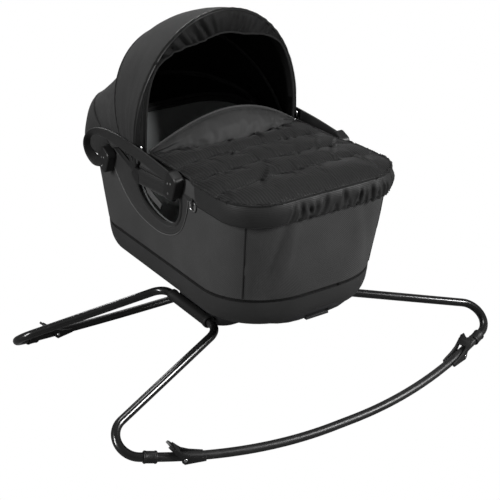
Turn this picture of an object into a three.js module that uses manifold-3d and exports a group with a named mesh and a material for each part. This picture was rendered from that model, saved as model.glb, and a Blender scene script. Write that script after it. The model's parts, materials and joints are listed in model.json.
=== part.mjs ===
import * as THREE from 'three';
import { mergeVertices } from 'three/addons/utils/BufferGeometryUtils.js';
import Module from 'manifold-3d';

const wasm = await Module();
wasm.setup();

// Travel bassinet on a swivel hub and a rocking stand of bent tubes.
// Millimetres, +Z up, the foot end of the tub towards -Y.

// Stand of two bent leg tubes and two rocker rails
const TUBE_R = 10;
const RAIL_HALF = 450;
const RAIL_Y = 313;
const RAIL_BOW = 66;
const RAIL_RISE = 45.5;
const RAIL_SEGMENTS = 17;
const LEG_REACH = 132;
const CORNER_BEND = 48;
const HUB_TUBE_X = 167;
const HUB_TUBE_Y = 129;
const HUB_TUBE_Z = 188;
const HUB_BEND = 44;
const TUBE_SIDES = 10;
const TUBE_JOINT = 0.4;
const BEND_STEP = 0.33;
const TUBE_CLEAR = 0.6;
const RUN_GAP = 0.3;
const COLLAR_R = 14;
const COLLAR_LENGTH = 30;
const COLLAR_EDGE = 1.6;
const COLLAR_RIB = 0.9;
const COLLAR_RIB_LENGTH = 5;

// Foot that flips down beside a rail
const FOOT_FROM_END = 69;
const FOOT_X = RAIL_HALF - FOOT_FROM_END;
const FOOT_CHEEK = 5;
const FOOT_SIDE_GAP = 1.5;
const FOOT_PIN_R = 3.2;
const FOOT_PIN_HEAD_R = 4.6;
const FOOT_PIN_HEAD = 2;
const FOOT_ARM = 46;
const FOOT_BOSS_R = 11;
const FOOT_PEDAL_BACK = 34;
const FOOT_PEDAL_RISE = 24;
const FOOT_BRIDGE = 16;
const FOOT_BRIDGE_THICK = 5;

// Hub, bearing and turntable
const SLEEVE_R = 13.5;
const SLEEVE_HALF = 88;
const SLEEVE_CAP = 10;
const SLEEVE_CAP_R = 15;
const HUB_HALF_X = 158;
const HUB_HALF_Y = 104;
const HUB_CORNER = 46;
const HUB_HALF_HIGH = 18;
const HUB_BEVEL = 5;
const HUB_SKIN = 6;
const HUB_RIB = 5;
const HUB_BOSS_R = 34;
const RING_R = 104;
const RING_BORE = 78;
const RING_HIGH = 8;
const TURN_R = 118;
const TURN_HIGH = 19;
const TURN_BOSS_R = 66;
const TURN_BOSS_HIGH = 9;
const TURN_EDGE = 3;
const SPINDLE_R = 20;
const HUB_LOW = HUB_TUBE_Z - HUB_HALF_HIGH;
const HUB_HIGH = HUB_TUBE_Z + HUB_HALF_HIGH;

// Heights of the dock, the tray and the tub, stacked on the turntable
const DOME_HIGH = 21.8;
const TRAY_HIGH = 48;
const TUB_HIGH = 242;
const DOME_LOW = HUB_HIGH + RING_HIGH + TURN_HIGH + 3 * RUN_GAP;
const TRAY_BOTTOM_Z = DOME_LOW + DOME_HIGH + RUN_GAP;
const LIP_Z = TRAY_BOTTOM_Z + TRAY_HIGH;
const RIM_Z = LIP_Z + TUB_HIGH;

// Tub outline at the lip and at the rim
const LIP_HALF_W = 209.5;
const RIM_HALF_W = 206;
const LIP_FOOT_Y = -294;
const RIM_FOOT_Y = -321.5;
const LIP_HEAD_Y = 443;
const RIM_HEAD_Y = 452;
const LIP_CORNER = 158;
const RIM_CORNER = 92;
const CORNER_POINTS = 7;
const WALL = 6;
const LIP_HIGH = 8;
const LIP_RECESS = 3.5;
const TRAY_INSET = 34;
const TRAY_FLOOR = 5;
const DOME_HALF_W = 150;
const DOME_FOOT_Y = -282;
const DOME_HEAD_Y = 330;
const DOME_CORNER = 108;
const DOME_DRAFT = 14;
const RIM_TUBE_R = 6;
const LINER = 3;
const LINER_TOP_DROP = 4;
const MATTRESS_HIGH = 62;
const MATTRESS_CLEAR = 3;
const MATTRESS_EDGE = 16;
const MATTRESS_CROWN = 7;
const PADDLE_HALF = 30;
const PADDLE_LONG = 44;
const PADDLE_THICK = 6;
const PADDLE_AXLE_R = 4;
const PADDLE_HOOK = 7;

// Side window, its border, the grip over it and the rings
const WINDOW_Y = 44;
const WINDOW_HALF = 108;
const WINDOW_DROP = 54;
const WINDOW_TOP = RIM_Z - WINDOW_DROP;
const WINDOW_DEPTH = 79;
const PATCH_THICK = 3;
const PATCH_Y = 92;
const PATCH_HALF = 188;
const PATCH_DROP = 48;
const PATCH_TOP = RIM_Z - PATCH_DROP;
const PATCH_DEPTH = 116;
const GRIP_FOOT_Y = -38;
const GRIP_HEAD_Y = 124;
const GRIP_FOOT_DROP = 41;
const GRIP_HEAD_DROP = 51;
const GRIP_FOOT_Z = RIM_Z - GRIP_FOOT_DROP;
const GRIP_HEAD_Z = RIM_Z - GRIP_HEAD_DROP;
const GRIP_HALF_T = 8;
const GRIP_HALF_H = 18;
const SURFACE_GAP = 0.4;
const RING_WIRE = 1.9;
const RING_HALF = 11;
const RING_DROP = 19;
const RING_FOOT_Y = -119;
const RING_HEAD_Y = 318;
const RING_FOOT_DROP = 32;
const RING_HEAD_DROP = 65;
const RING_FOOT_Z = RIM_Z - RING_FOOT_DROP;
const RING_HEAD_Z = RIM_Z - RING_HEAD_DROP;
const TAB_HALF = 8;
const TAB_LONG = 30;
const TAB_THICK = 2.6;

// Carry straps and their brackets
const STRAP_GAP = 1.9;
const STRAP_THICK = 4;
const STRAP_WIDE = 30;
const STRAP_RISE = 9;
const STRAP_LOOP_Y = 366;
const STRAP_OVER_RIM = 20;
const STRAP_LOW_DROP = 69;
const STRAP_TOP_Z = RIM_Z + STRAP_OVER_RIM;
const STRAP_LOW_Z = RIM_Z - STRAP_LOW_DROP;
const BRACKET_COVER = 4;
const BRACKET_FOOT_Y = -56;
const BRACKET_FOOT_DROP = 17;
const BRACKET_FOOT_Z = RIM_Z - BRACKET_FOOT_DROP;
const BRACKET_HEAD_Y = 277;
const BRACKET_HEAD_DROP = 55;
const BRACKET_HEAD_Z = RIM_Z - BRACKET_HEAD_DROP;
const BRACKET_HALF_W = 21;
const BRACKET_HALF_H = 31;
const BRACKET_ROUND = 10;
const BRACKET_BEVEL = 2;
const BRACKET_LEAN_FOOT = 0.42;
const BRACKET_LEAN_HEAD = 0.5;
const STRAP_CLEAR = 0.35;

// Canopy bows, pivots and fabric
const PIVOT_Y = 140;
const PIVOT_DROP = 52;
const PIVOT_Z = RIM_Z - PIVOT_DROP;
const BOW_THICK = 3;
const BOW_WIDE = 14;
const BOW_GAP = 0.4;
const BOW_LEG_SHARE = 0.12;
const BOW_ARC_POINTS = 16;
const REAR_LEG = 172;
const MID_LEG = 78;
const FRONT_LEG = 84;
const BOW_HUB_R = 12;
const PIVOT_PIN_R = 4;
const PIVOT_PLATE_R = 15;
const PIVOT_PLATE = 1.2;
const PIVOT_HEAD_R = 8;
const PIVOT_HEAD = 2.4;
const REAR_BOW_R = 368;
const MID_BOW_R = 341;
const FRONT_BOW_R = 363;
const REAR_BOW_DEG = 71.5;
const MID_BOW_DEG = 36.1;
const FRONT_BOW_DEG = -8;
const CLOTH = 2;
const CLOTH_CLEAR = 1.2;
const CLOTH_START_SHARE = 0.075;
const REAR_CLOTH_START_SHARE = 0.108;
const CLOTH_SAG = 7;
const SEAM_HALF = 0.35;
const SKIRT_DROP = 14;
const HEM_CLEAR = 2.6;
const REAR_BULGE = 14;
const VISOR_THICK = 4;
const VISOR_START_SHARE = 0.2;
const VISOR_FRONT_DEG = 5.5;
const VISOR_BACK_DEG = 19;

// Boot cover and its flap
const BOOT_HEAD_Y = 28;
const BOOT_SKIRT_Y = -134;
const BOOT_SKIRT = 43;
const BOOT_THICK = 5;
const BOOT_SEAT = 2.2;
const BOOT_CROWN = 16;
const BOOT_PUFF = 8;
const BOOT_INSET = 4;
const BOOT_COLUMNS = 12;
const FLAP_HIGH = 76;
const FLAP_BACK = 44;
const FLAP_THICK = 11;
const FLAP_SIDE_GAP = 6;
const FLAP_HALF_W = RIM_HALF_W - FLAP_SIDE_GAP;
const FLAP_COLUMNS = 16;

const BLACK_FABRIC = 0x1b1b1c;
const BLACK_PLASTIC = 0x17171a;
const GLOSS_TUBE = 0x121214;
const SATIN_TUBE = 0x4a4a4c;
const LIGHT_GREY = 0x8d9092;
const STEEL = 0xb8bbbf;

function makeMesh(name, geometry, color, roughness, metalness) {
  const material = new THREE.MeshStandardMaterial({ color, roughness, metalness });
  const mesh = new THREE.Mesh(geometry, material);
  mesh.name = name;
  return mesh;
}

function lerp(a, b, t) {
  return a + (b - a) * t;
}

function bare(geometry) {
  const plain = geometry.clone();
  plain.deleteAttribute('normal');
  plain.deleteAttribute('uv');
  return mergeVertices(plain);
}

function toSolid(geometry) {
  const plain = bare(geometry);
  const vertProperties = new Float32Array(plain.attributes.position.array);
  const triVerts = new Uint32Array(plain.index.array);
  return new wasm.Manifold(new wasm.Mesh({ numProp: 3, vertProperties, triVerts }));
}

function toGeometry(solid) {
  const mesh = solid.getMesh();
  const geometry = new THREE.BufferGeometry();
  geometry.setAttribute('position', new THREE.BufferAttribute(new Float32Array(mesh.vertProperties), 3));
  geometry.setIndex(Array.from(mesh.triVerts));
  geometry.computeVertexNormals();
  return geometry;
}

function signedVolume(points, index) {
  let sum = 0;
  const cross = new THREE.Vector3();
  for (let k = 0; k < index.length; k += 3) {
    cross.crossVectors(points[index[k + 1]], points[index[k + 2]]);
    sum += points[index[k]].dot(cross);
  }
  return sum;
}

// Welds a list of points and faces into one closed geometry whose faces point out
function closedGeometry(points, faces) {
  const seen = new Map();
  const welded = [];
  const remap = points.map((point) => {
    const key = [point.x, point.y, point.z].map((v) => Math.round(v * 1e4)).join();
    if (!seen.has(key)) {
      seen.set(key, welded.length);
      welded.push(point);
    }
    return seen.get(key);
  });
  const index = [];
  for (const face of faces) {
    const [a, b, c] = face.map((k) => remap[k]);
    if (a !== b && b !== c && c !== a) index.push(a, b, c);
  }
  if (signedVolume(welded, index) < 0) index.reverse();
  const geometry = new THREE.BufferGeometry();
  geometry.setAttribute('position', new THREE.Float32BufferAttribute(welded.flatMap((p) => p.toArray()), 3));
  geometry.setIndex(index);
  geometry.computeVertexNormals();
  return geometry;
}

// Joins rings of equal count; a loop closes on itself, an open run gets flat ends
function skin(rings, loop) {
  const count = rings[0].length;
  const points = rings.flat();
  const faces = [];
  const last = loop ? rings.length : rings.length - 1;
  for (let r = 0; r < last; r++) {
    const here = r * count;
    const next = ((r + 1) % rings.length) * count;
    for (let k = 0; k < count; k++) {
      const side = (k + 1) % count;
      faces.push([here + k, here + side, next + side], [here + k, next + side, next + k]);
    }
  }
  if (!loop) {
    for (const r of [0, rings.length - 1]) {
      const middle = new THREE.Vector3();
      rings[r].forEach((p) => middle.addScaledVector(p, 1 / count));
      points.push(middle);
      for (let k = 0; k < count; k++) {
        const pair = [r * count + k, r * count + (k + 1) % count];
        faces.push(r === 0 ? [points.length - 1, pair[1], pair[0]] : [points.length - 1, pair[0], pair[1]]);
      }
    }
  }
  return closedGeometry(points, faces);
}

// A thick sheet between two grids of rows, closed round its four edges
function sheet(outer, inner) {
  const rows = outer.length;
  const columns = outer[0].length;
  const points = [...outer.flat(), ...inner.flat()];
  const shift = rows * columns;
  const faces = [];
  for (let r = 0; r < rows - 1; r++) {
    for (let c = 0; c < columns - 1; c++) {
      const [a, b] = [r * columns + c, r * columns + c + 1];
      const [d, e] = [a + columns, b + columns];
      faces.push([a, b, e], [a, e, d], [shift + a, shift + e, shift + b], [shift + a, shift + d, shift + e]);
    }
  }
  const edge = [];
  for (let c = 0; c < columns - 1; c++) edge.push(c);
  for (let r = 0; r < rows - 1; r++) edge.push(r * columns + columns - 1);
  for (let c = columns - 1; c > 0; c--) edge.push((rows - 1) * columns + c);
  for (let r = rows - 1; r > 0; r--) edge.push(r * columns);
  edge.forEach((a, k) => {
    const b = edge[(k + 1) % edge.length];
    faces.push([a, shift + b, b], [a, shift + a, shift + b]);
  });
  return closedGeometry(points, faces);
}

// The same piece for the side at +X or, mirrored, at -X
function forSide(geometry, side) {
  if (side > 0) return geometry;
  const turned = bare(geometry);
  turned.scale(-1, 1, 1);
  const index = Array.from(turned.index.array).reverse();
  turned.setIndex(index);
  turned.computeVertexNormals();
  return turned;
}

// A path through points whose tangent at each point halves the bend there
class BentPath extends THREE.Curve {
  constructor(points) {
    super();
    this.points = points;
  }

  getPoint(t) {
    const place = t * (this.points.length - 1);
    const k = Math.min(Math.floor(place), this.points.length - 2);
    return this.points[k].clone().lerp(this.points[k + 1], place - k);
  }

  getPointAt(t) {
    return this.getPoint(t);
  }

  getTangent(t) {
    const last = this.points.length - 1;
    const k = Math.round(t * last);
    const tangent = new THREE.Vector3();
    if (k > 0) tangent.add(this.points[k].clone().sub(this.points[k - 1]).normalize());
    if (k < last) tangent.add(this.points[k + 1].clone().sub(this.points[k]).normalize());
    return tangent.normalize();
  }

  getTangentAt(t) {
    return this.getTangent(t);
  }
}

function circleShape(radius, sides) {
  const corner = radius / Math.cos(Math.PI / sides);
  const points = [];
  for (let k = 0; k < sides; k++) {
    const angle = (k + 0.5) * 2 * Math.PI / sides;
    points.push(new THREE.Vector2(corner * Math.cos(angle), corner * Math.sin(angle)));
  }
  return new THREE.Shape(points);
}

function tube(points, radius, sides) {
  const extrudePath = new BentPath(points);
  const steps = points.length - 1;
  return new THREE.ExtrudeGeometry(circleShape(radius, sides), { steps, bevelEnabled: false, extrudePath });
}

// Rounds each inner corner of a route with its own bend radius
function bentRoute(corners, bends) {
  const route = [corners[0]];
  for (let k = 1; k < corners.length - 1; k++) {
    const into = corners[k].clone().sub(corners[k - 1]).normalize();
    const out = corners[k + 1].clone().sub(corners[k]).normalize();
    const turn = into.angleTo(out);
    const bend = bends[k - 1];
    const start = corners[k].clone().addScaledVector(into, -bend * Math.tan(turn / 2));
    const side = out.clone().addScaledVector(into, -Math.cos(turn)).normalize();
    const count = Math.ceil(turn / BEND_STEP);
    for (let j = 0; j <= count; j++) {
      const angle = turn * j / count;
      const point = start.clone().addScaledVector(into, bend * Math.sin(angle));
      route.push(point.addScaledVector(side, bend * (1 - Math.cos(angle))));
    }
  }
  route.push(corners[corners.length - 1]);
  return route;
}

// Turns a geometry built along Z so that it runs along a direction at a place
function alongAt(geometry, direction, place) {
  const turn = new THREE.Quaternion().setFromUnitVectors(new THREE.Vector3(0, 0, 1), direction);
  return geometry.applyQuaternion(turn).translate(place.x, place.y, place.z);
}

function lathe(pairs, sides) {
  const profile = pairs.map(([r, z]) => new THREE.Vector2(r, z));
  const first = profile[0];
  if (pairs[pairs.length - 1][0] > 0) profile.push(first.clone());
  const geometry = new THREE.LatheGeometry(profile, sides);
  geometry.rotateX(Math.PI / 2);
  const plain = bare(geometry);
  const position = plain.attributes.position;
  const points = [];
  for (let k = 0; k < position.count; k++) points.push(new THREE.Vector3().fromBufferAttribute(position, k));
  const faces = [];
  for (let k = 0; k < plain.index.count; k += 3) faces.push([0, 1, 2].map((j) => plain.index.getX(k + j)));
  return closedGeometry(points, faces);
}

// The tub

// One level of the tub's rounded outline, pulled in by an inset
function outline(z, inset) {
  const t = (z - LIP_Z) / (RIM_Z - LIP_Z);
  const halfW = lerp(LIP_HALF_W, RIM_HALF_W, t) - inset;
  const foot = lerp(LIP_FOOT_Y, RIM_FOOT_Y, t) + inset;
  const head = lerp(LIP_HEAD_Y, RIM_HEAD_Y, t) - inset;
  const corner = lerp(LIP_CORNER, RIM_CORNER, Math.max(t, 0)) - inset;
  return roundedRing(halfW, foot, head, corner, z);
}

function roundedRing(halfW, foot, head, corner, z) {
  const ring = [];
  const centres = [[-1, foot + corner, 2], [1, foot + corner, 3], [1, head - corner, 0], [-1, head - corner, 1]];
  for (const [side, y, quarter] of centres) {
    for (let k = 0; k < CORNER_POINTS; k++) {
      const angle = (quarter + k / (CORNER_POINTS - 1)) * Math.PI / 2;
      const x = side * (halfW - corner) + corner * Math.cos(angle);
      ring.push(new THREE.Vector3(x, y + corner * Math.sin(angle), z));
    }
  }
  return ring;
}

function shellBetween(low, high, insetOut, insetIn, levels) {
  const rings = [];
  for (let k = 0; k <= levels; k++) rings.push(outline(lerp(low, high, k / levels), insetOut));
  for (let k = levels; k >= 0; k--) rings.push(outline(lerp(low, high, k / levels), insetIn));
  return skin(rings, true);
}

// A D shape on the tub's side, hung from its top edge, drawn in Y and Z
const windowShares = [[-1, 0.1], [-0.99, -0.2], [-0.9, -0.55], [-0.68, -0.85], [-0.3, -1], [0.15, -0.98],
  [0.55, -0.82], [0.82, -0.58], [0.96, -0.28], [1, 0], [0.97, 0.1]];
const patchShares = [[-1, 0.04], [-0.93, -0.3], [-0.8, -0.66], [-0.58, -0.9], [-0.28, -1.02], [0.02, -1.01],
  [0.32, -0.92], [0.56, -0.75], [0.76, -0.5], [0.91, -0.24], [1, 0.05], [0.62, 0.13], [-0.6, 0.18]];

function sidePrism(shares, centre, half, top, depth, from, to) {
  const shape = new THREE.Shape(shares.map(([y, z]) => new THREE.Vector2(centre + y * half, top + z * depth)));
  const geometry = new THREE.ExtrudeGeometry(shape, { depth: to - from, bevelEnabled: false });
  const turn = new THREE.Matrix4().set(0, 0, 1, from, 1, 0, 0, 0, 0, 1, 0, 0, 0, 0, 0, 1);
  return toSolid(geometry.applyMatrix4(turn));
}

function windowCutter() {
  const reach = RIM_HALF_W * 2;
  return sidePrism(windowShares, WINDOW_Y, WINDOW_HALF, WINDOW_TOP, WINDOW_DEPTH, -reach, reach);
}

function tubWall() {
  const solid = toSolid(shellBetween(LIP_Z + LIP_HIGH + RUN_GAP, RIM_Z, 0, WALL, 3));
  return toGeometry(solid.subtract(windowCutter()));
}

function tubLip() {
  return shellBetween(LIP_Z, LIP_Z + LIP_HIGH, LIP_RECESS, LIP_RECESS + WALL, 1);
}

const trayShares = [[0, 1], [0.06, 0.7], [0.2, 0.38], [0.52, 0.12], [1, 0]];

function baseTray() {
  const top = LIP_Z - RUN_GAP;
  const deep = top - TRAY_BOTTOM_Z;
  const rings = trayShares.map(([inset, rise]) => outline(TRAY_BOTTOM_Z + rise * deep, inset * TRAY_INSET));
  const innerRings = trayShares.map(([inset, rise]) => {
    const z = TRAY_BOTTOM_Z + TRAY_FLOOR + rise * (deep - TRAY_FLOOR);
    return outline(z, inset * TRAY_INSET + WALL);
  });
  return skin([...rings.reverse(), ...innerRings], false);
}

function dockSocket() {
  const rise = TURN_BOSS_HIGH + RUN_GAP;
  const geometry = new THREE.CylinderGeometry(TURN_BOSS_R + RUN_GAP, TURN_BOSS_R + RUN_GAP, rise * 2, 24);
  geometry.rotateY(Math.PI / 2);
  return toSolid(geometry.rotateX(Math.PI / 2).translate(0, 0, DOME_LOW));
}

function dockDome() {
  const top = TRAY_BOTTOM_Z - RUN_GAP;
  const rings = [[DOME_DRAFT, DOME_LOW], [DOME_DRAFT / 3, lerp(DOME_LOW, top, 0.4)], [0, top]].map(([inset, z]) =>
    roundedRing(DOME_HALF_W - inset, DOME_FOOT_Y + inset, DOME_HEAD_Y - inset, DOME_CORNER - inset, z));
  let solid = toSolid(skin(rings, false)).subtract(dockSocket());
  const slot = new THREE.BoxGeometry((PADDLE_HALF + 2 * RUN_GAP) * 2, PADDLE_LONG * 2, (PADDLE_THICK + PADDLE_HOOK) * 2);
  solid = solid.subtract(toSolid(slot.translate(0, DOME_FOOT_Y, DOME_LOW)));
  const axle = new THREE.CylinderGeometry(PADDLE_AXLE_R + RUN_GAP, PADDLE_AXLE_R + RUN_GAP, PADDLE_HALF * 3, 12);
  return toGeometry(solid.subtract(toSolid(axle.rotateZ(Math.PI / 2).translate(0, paddleAxleY(), paddleAxleZ()))));
}

function paddleAxleY() {
  return DOME_FOOT_Y + PADDLE_LONG - PADDLE_AXLE_R - 3 * RUN_GAP;
}

function paddleAxleZ() {
  return DOME_LOW + PADDLE_AXLE_R + 4 * RUN_GAP;
}

// Release paddle hinged in the foot end of the dock
function dockPaddle() {
  const half = PADDLE_HALF;
  const long = PADDLE_LONG - 6 * RUN_GAP;
  const plate = new THREE.BoxGeometry(half * 2, long - PADDLE_AXLE_R, PADDLE_THICK);
  plate.translate(0, paddleAxleY() - (long - PADDLE_AXLE_R) / 2, paddleAxleZ());
  const barLength = half * 3 - 4 * RUN_GAP;
  const bar = new THREE.CylinderGeometry(PADDLE_AXLE_R, PADDLE_AXLE_R, barLength, 12).rotateZ(Math.PI / 2);
  return toGeometry(toSolid(plate).add(toSolid(bar.translate(0, paddleAxleY(), paddleAxleZ()))));
}

function rimTube() {
  const z = RIM_Z - WALL - RIM_TUBE_R;
  const inset = WALL + RUN_GAP + RIM_TUBE_R;
  const middle = outline(z, inset);
  const rings = middle.map((point, k) => {
    const before = middle[(k + middle.length - 1) % middle.length];
    const after = middle[(k + 1) % middle.length];
    const along = after.clone().sub(before).normalize();
    const side = new THREE.Vector3(along.y, -along.x, 0);
    return [0, 1, 2, 3, 4, 5, 6, 7].map((j) => {
      const angle = (j + 0.5) * Math.PI / 4;
      const at = point.clone().addScaledVector(side, RIM_TUBE_R * Math.cos(angle));
      return at.setZ(z + RIM_TUBE_R * Math.sin(angle));
    });
  });
  return skin(rings, true);
}

function innerLiner() {
  const top = RIM_Z - WALL - 2 * RIM_TUBE_R - LINER_TOP_DROP;
  const out = WALL + 2 * RUN_GAP;
  const solid = toSolid(shellBetween(LIP_Z + LIP_HIGH, top, out, out + LINER, 2));
  return toGeometry(solid.subtract(windowCutter()));
}

function mattress() {
  const low = TRAY_BOTTOM_Z + TRAY_FLOOR + RUN_GAP;
  const inset = WALL + LINER + MATTRESS_CLEAR;
  const rings = [];
  const levelShares = [[1, 0], [0.35, 0.05], [0, 0.25], [0, 0.72], [0.3, 0.93], [1, 1]];
  for (const [pull, rise] of levelShares) {
    const z = low + rise * MATTRESS_HIGH;
    const curve = TRAY_INSET * Math.max(0, 0.75 - rise * 2.2);
    rings.push(outline(z, inset + curve + pull * MATTRESS_EDGE));
  }
  const high = low + MATTRESS_HIGH;
  rings.push(outline(high + MATTRESS_CROWN * 0.6, inset + MATTRESS_EDGE * 4));
  rings.push(outline(high + MATTRESS_CROWN, inset + MATTRESS_EDGE * 7));
  return skin(rings, false);
}

// Window border, with the tabs that hold the rings
function windowPatch() {
  const low = WINDOW_TOP - PATCH_DEPTH * 2;
  const near = -PATCH_THICK - SURFACE_GAP;
  const shell = toSolid(shellBetween(Math.max(low, LIP_Z + LIP_HIGH), RIM_Z, near, -SURFACE_GAP, 3));
  const reach = RIM_HALF_W * 2;
  let solid = shell.intersect(sidePrism(patchShares, PATCH_Y, PATCH_HALF, PATCH_TOP, PATCH_DEPTH, 0, reach));
  solid = solid.subtract(windowCutter());
  const notchR = PIVOT_PLATE_R + PIVOT_PLATE;
  const notch = new THREE.CylinderGeometry(notchR, notchR, RIM_HALF_W * 3, 20).rotateZ(Math.PI / 2);
  solid = solid.subtract(toSolid(notch.translate(0, PIVOT_Y, PIVOT_Z)));
  for (const [y, z] of [[RING_FOOT_Y, RING_FOOT_Z], [RING_HEAD_Y, RING_HEAD_Z]]) {
    const towards = Math.sign(PATCH_Y - y);
    const tab = new THREE.BoxGeometry(TAB_THICK, TAB_LONG * 2, TAB_HALF * 2);
    const x = widestX(z - TAB_HALF * 2, z) + SURFACE_GAP + TAB_THICK / 2;
    tab.translate(x, y + towards * TAB_LONG, z - TAB_HALF);
    solid = solid.add(toSolid(tab));
  }
  return toGeometry(solid);
}

// Where the outer face of the tub's long side stands at a height
function sideX(z) {
  return lerp(LIP_HALF_W, RIM_HALF_W, (z - LIP_Z) / (RIM_Z - LIP_Z));
}

function widestX(low, high) {
  return Math.max(sideX(low), sideX(high));
}

// The face on which the grip, the brackets and the bows sit, outside the window border
function seatX(low, high) {
  return widestX(low, high) + SURFACE_GAP + PATCH_THICK + SURFACE_GAP;
}

function gripBar() {
  const shares = [[0, 0.62], [0.03, 0.9], [0.12, 1], [0.88, 1], [0.97, 0.9], [1, 0.62]];
  const x = seatX(GRIP_HEAD_Z - GRIP_HALF_H, GRIP_FOOT_Z + GRIP_HALF_H) + GRIP_HALF_T;
  const rings = shares.map(([t, puff]) => {
    const y = lerp(GRIP_FOOT_Y, GRIP_HEAD_Y, t);
    const z = lerp(GRIP_FOOT_Z, GRIP_HEAD_Z, t);
    const ring = [];
    for (let k = 0; k < 12; k++) {
      const angle = k * Math.PI / 6;
      const across = x + GRIP_HALF_T * puff * Math.cos(angle);
      ring.push(new THREE.Vector3(across, y, z + GRIP_HALF_H * puff * Math.sin(angle)));
    }
    return ring;
  });
  return skin(rings, false);
}

function wireRing(y, z) {
  const loopShares = [[-1, 0], [-1, -0.3], [-0.86, -0.68], [-0.5, -0.92], [0, -1], [0.5, -0.92], [0.86, -0.68],
    [1, -0.3], [1, 0], [0.5, 0.04], [-0.5, 0.04]];
  const x = widestX(z - TAB_HALF - RING_DROP, z) + SURFACE_GAP * 2 + TAB_THICK + RING_WIRE;
  const middle = loopShares.map(([a, b]) => new THREE.Vector3(x, y + a * RING_HALF, z - TAB_HALF + b * RING_DROP));
  const rings = middle.map((point, k) => {
    const before = middle[(k + middle.length - 1) % middle.length];
    const after = middle[(k + 1) % middle.length];
    const along = after.clone().sub(before).normalize();
    const lift = new THREE.Vector3(0, -along.z, along.y);
    return [0, 1, 2, 3, 4, 5].map((j) => {
      const angle = j * Math.PI / 3;
      const at = point.clone().addScaledVector(lift, RING_WIRE * Math.cos(angle));
      at.x += RING_WIRE * Math.sin(angle);
      return at;
    });
  });
  return skin(rings, true);
}

// Straps and brackets

// Route of the strap between its brackets: shares of the way to the loop's far turn and of the loop's height,
// and how far the strap's width has turned from upright to level
const strapShares = [[0.11, 0.76, 0], [0.29, 0.85, 0], [0.5, 0.93, 0], [0.69, 0.98, 0.05], [0.82, 1, 0.2],
  [0.92, 0.955, 0.5], [0.977, 0.764, 0.85], [1, 0.45, 1], [0.977, 0.146, 0.9], [0.92, 0, 0.6], [0.857, 0.067, 0.25],
  [0.81, 0.19, 0]];

// The strap lies just outside the canopy's fabric
function strapX() {
  return CLOTH_HALF_W + CLOTH + STRAP_GAP + STRAP_THICK / 2;
}

function strapRoute() {
  const start = [BRACKET_FOOT_Y - BRACKET_HALF_W / 2, BRACKET_FOOT_Z + STRAP_RISE, 0];
  const stop = [BRACKET_HEAD_Y - BRACKET_HALF_W / 3, BRACKET_HEAD_Z + STRAP_RISE, 0];
  const middle = strapShares.map(([along, rise, turned]) => {
    return [lerp(start[0], STRAP_LOOP_Y, along), lerp(STRAP_LOW_Z, STRAP_TOP_Z, rise), turned];
  });
  return [start, ...middle, stop];
}

function strap(clear) {
  const route = strapRoute();
  const rings = route.map(([y, z, turned], k) => {
    const before = route[Math.max(k - 1, 0)];
    const after = route[Math.min(k + 1, route.length - 1)];
    const along = new THREE.Vector3(0, after[0] - before[0], after[1] - before[1]).normalize();
    const up = new THREE.Vector3(0, -along.z, along.y);
    const angle = turned * Math.PI / 2;
    const across = new THREE.Vector3(Math.sin(angle), 0, 0).addScaledVector(up, Math.cos(angle));
    const face = new THREE.Vector3().crossVectors(along, across);
    const width = STRAP_WIDE / 2 * (1 - turned * 0.25) + clear;
    const thick = STRAP_THICK / 2 + clear;
    const out = new THREE.Vector3(strapX() + turned * STRAP_WIDE * 0.38, y, z);
    const corner = (a, b) => out.clone().addScaledVector(across, a * width).addScaledVector(face, b * thick);
    return [corner(-1, -0.5), corner(-0.92, -1), corner(0.92, -1), corner(1, -0.5), corner(1, 0.5), corner(0.92, 1),
      corner(-0.92, 1), corner(-1, 0.5)];
  });
  return skin(rings, false);
}

function roundedRectShape(halfW, halfH, round) {
  const shape = new THREE.Shape();
  shape.moveTo(-halfW + round, -halfH);
  shape.lineTo(halfW - round, -halfH);
  shape.absarc(halfW - round, -halfH + round, round, -Math.PI / 2, 0, false);
  shape.lineTo(halfW, halfH - round);
  shape.absarc(halfW - round, halfH - round, round, 0, Math.PI / 2, false);
  shape.lineTo(-halfW + round, halfH);
  shape.absarc(-halfW + round, halfH - round, round, Math.PI / 2, Math.PI, false);
  shape.lineTo(-halfW, -halfH + round);
  shape.absarc(-halfW + round, -halfH + round, round, Math.PI, Math.PI * 1.5, false);
  return shape;
}

function bracket(y, z, lean) {
  const reach = BRACKET_HALF_H + BRACKET_ROUND;
  const inner = seatX(z - reach, z + reach);
  const depth = strapX() + STRAP_THICK / 2 + BRACKET_COVER - inner - BRACKET_BEVEL;
  const shape = roundedRectShape(BRACKET_HALF_W - BRACKET_BEVEL, BRACKET_HALF_H - BRACKET_BEVEL, BRACKET_ROUND);
  const bevel = { bevelEnabled: true, bevelThickness: BRACKET_BEVEL, bevelSize: BRACKET_BEVEL, bevelSegments: 1 };
  const geometry = new THREE.ExtrudeGeometry(shape, { depth: depth - BRACKET_BEVEL, curveSegments: 3, ...bevel });
  geometry.translate(0, 0, inner + BRACKET_BEVEL);
  geometry.applyMatrix4(new THREE.Matrix4().set(0, 0, 1, 0, 1, 0, 0, 0, 0, 1, 0, 0, 0, 0, 0, 1));
  geometry.rotateX(lean).translate(0, y, z);
  let solid = toSolid(geometry).subtract(toSolid(strap(STRAP_CLEAR)));
  const seat = gripBar();
  seat.computeBoundingBox();
  const grown = 1 + 2 * SURFACE_GAP / GRIP_HALF_T;
  const centre = seat.boundingBox.getCenter(new THREE.Vector3());
  seat.translate(-centre.x, -centre.y, -centre.z).scale(grown, 1, grown).translate(centre.x, centre.y, centre.z);
  solid = solid.subtract(toSolid(seat));
  return toGeometry(solid);
}

// Canopy

function radians(degrees) {
  return degrees * Math.PI / 180;
}

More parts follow.
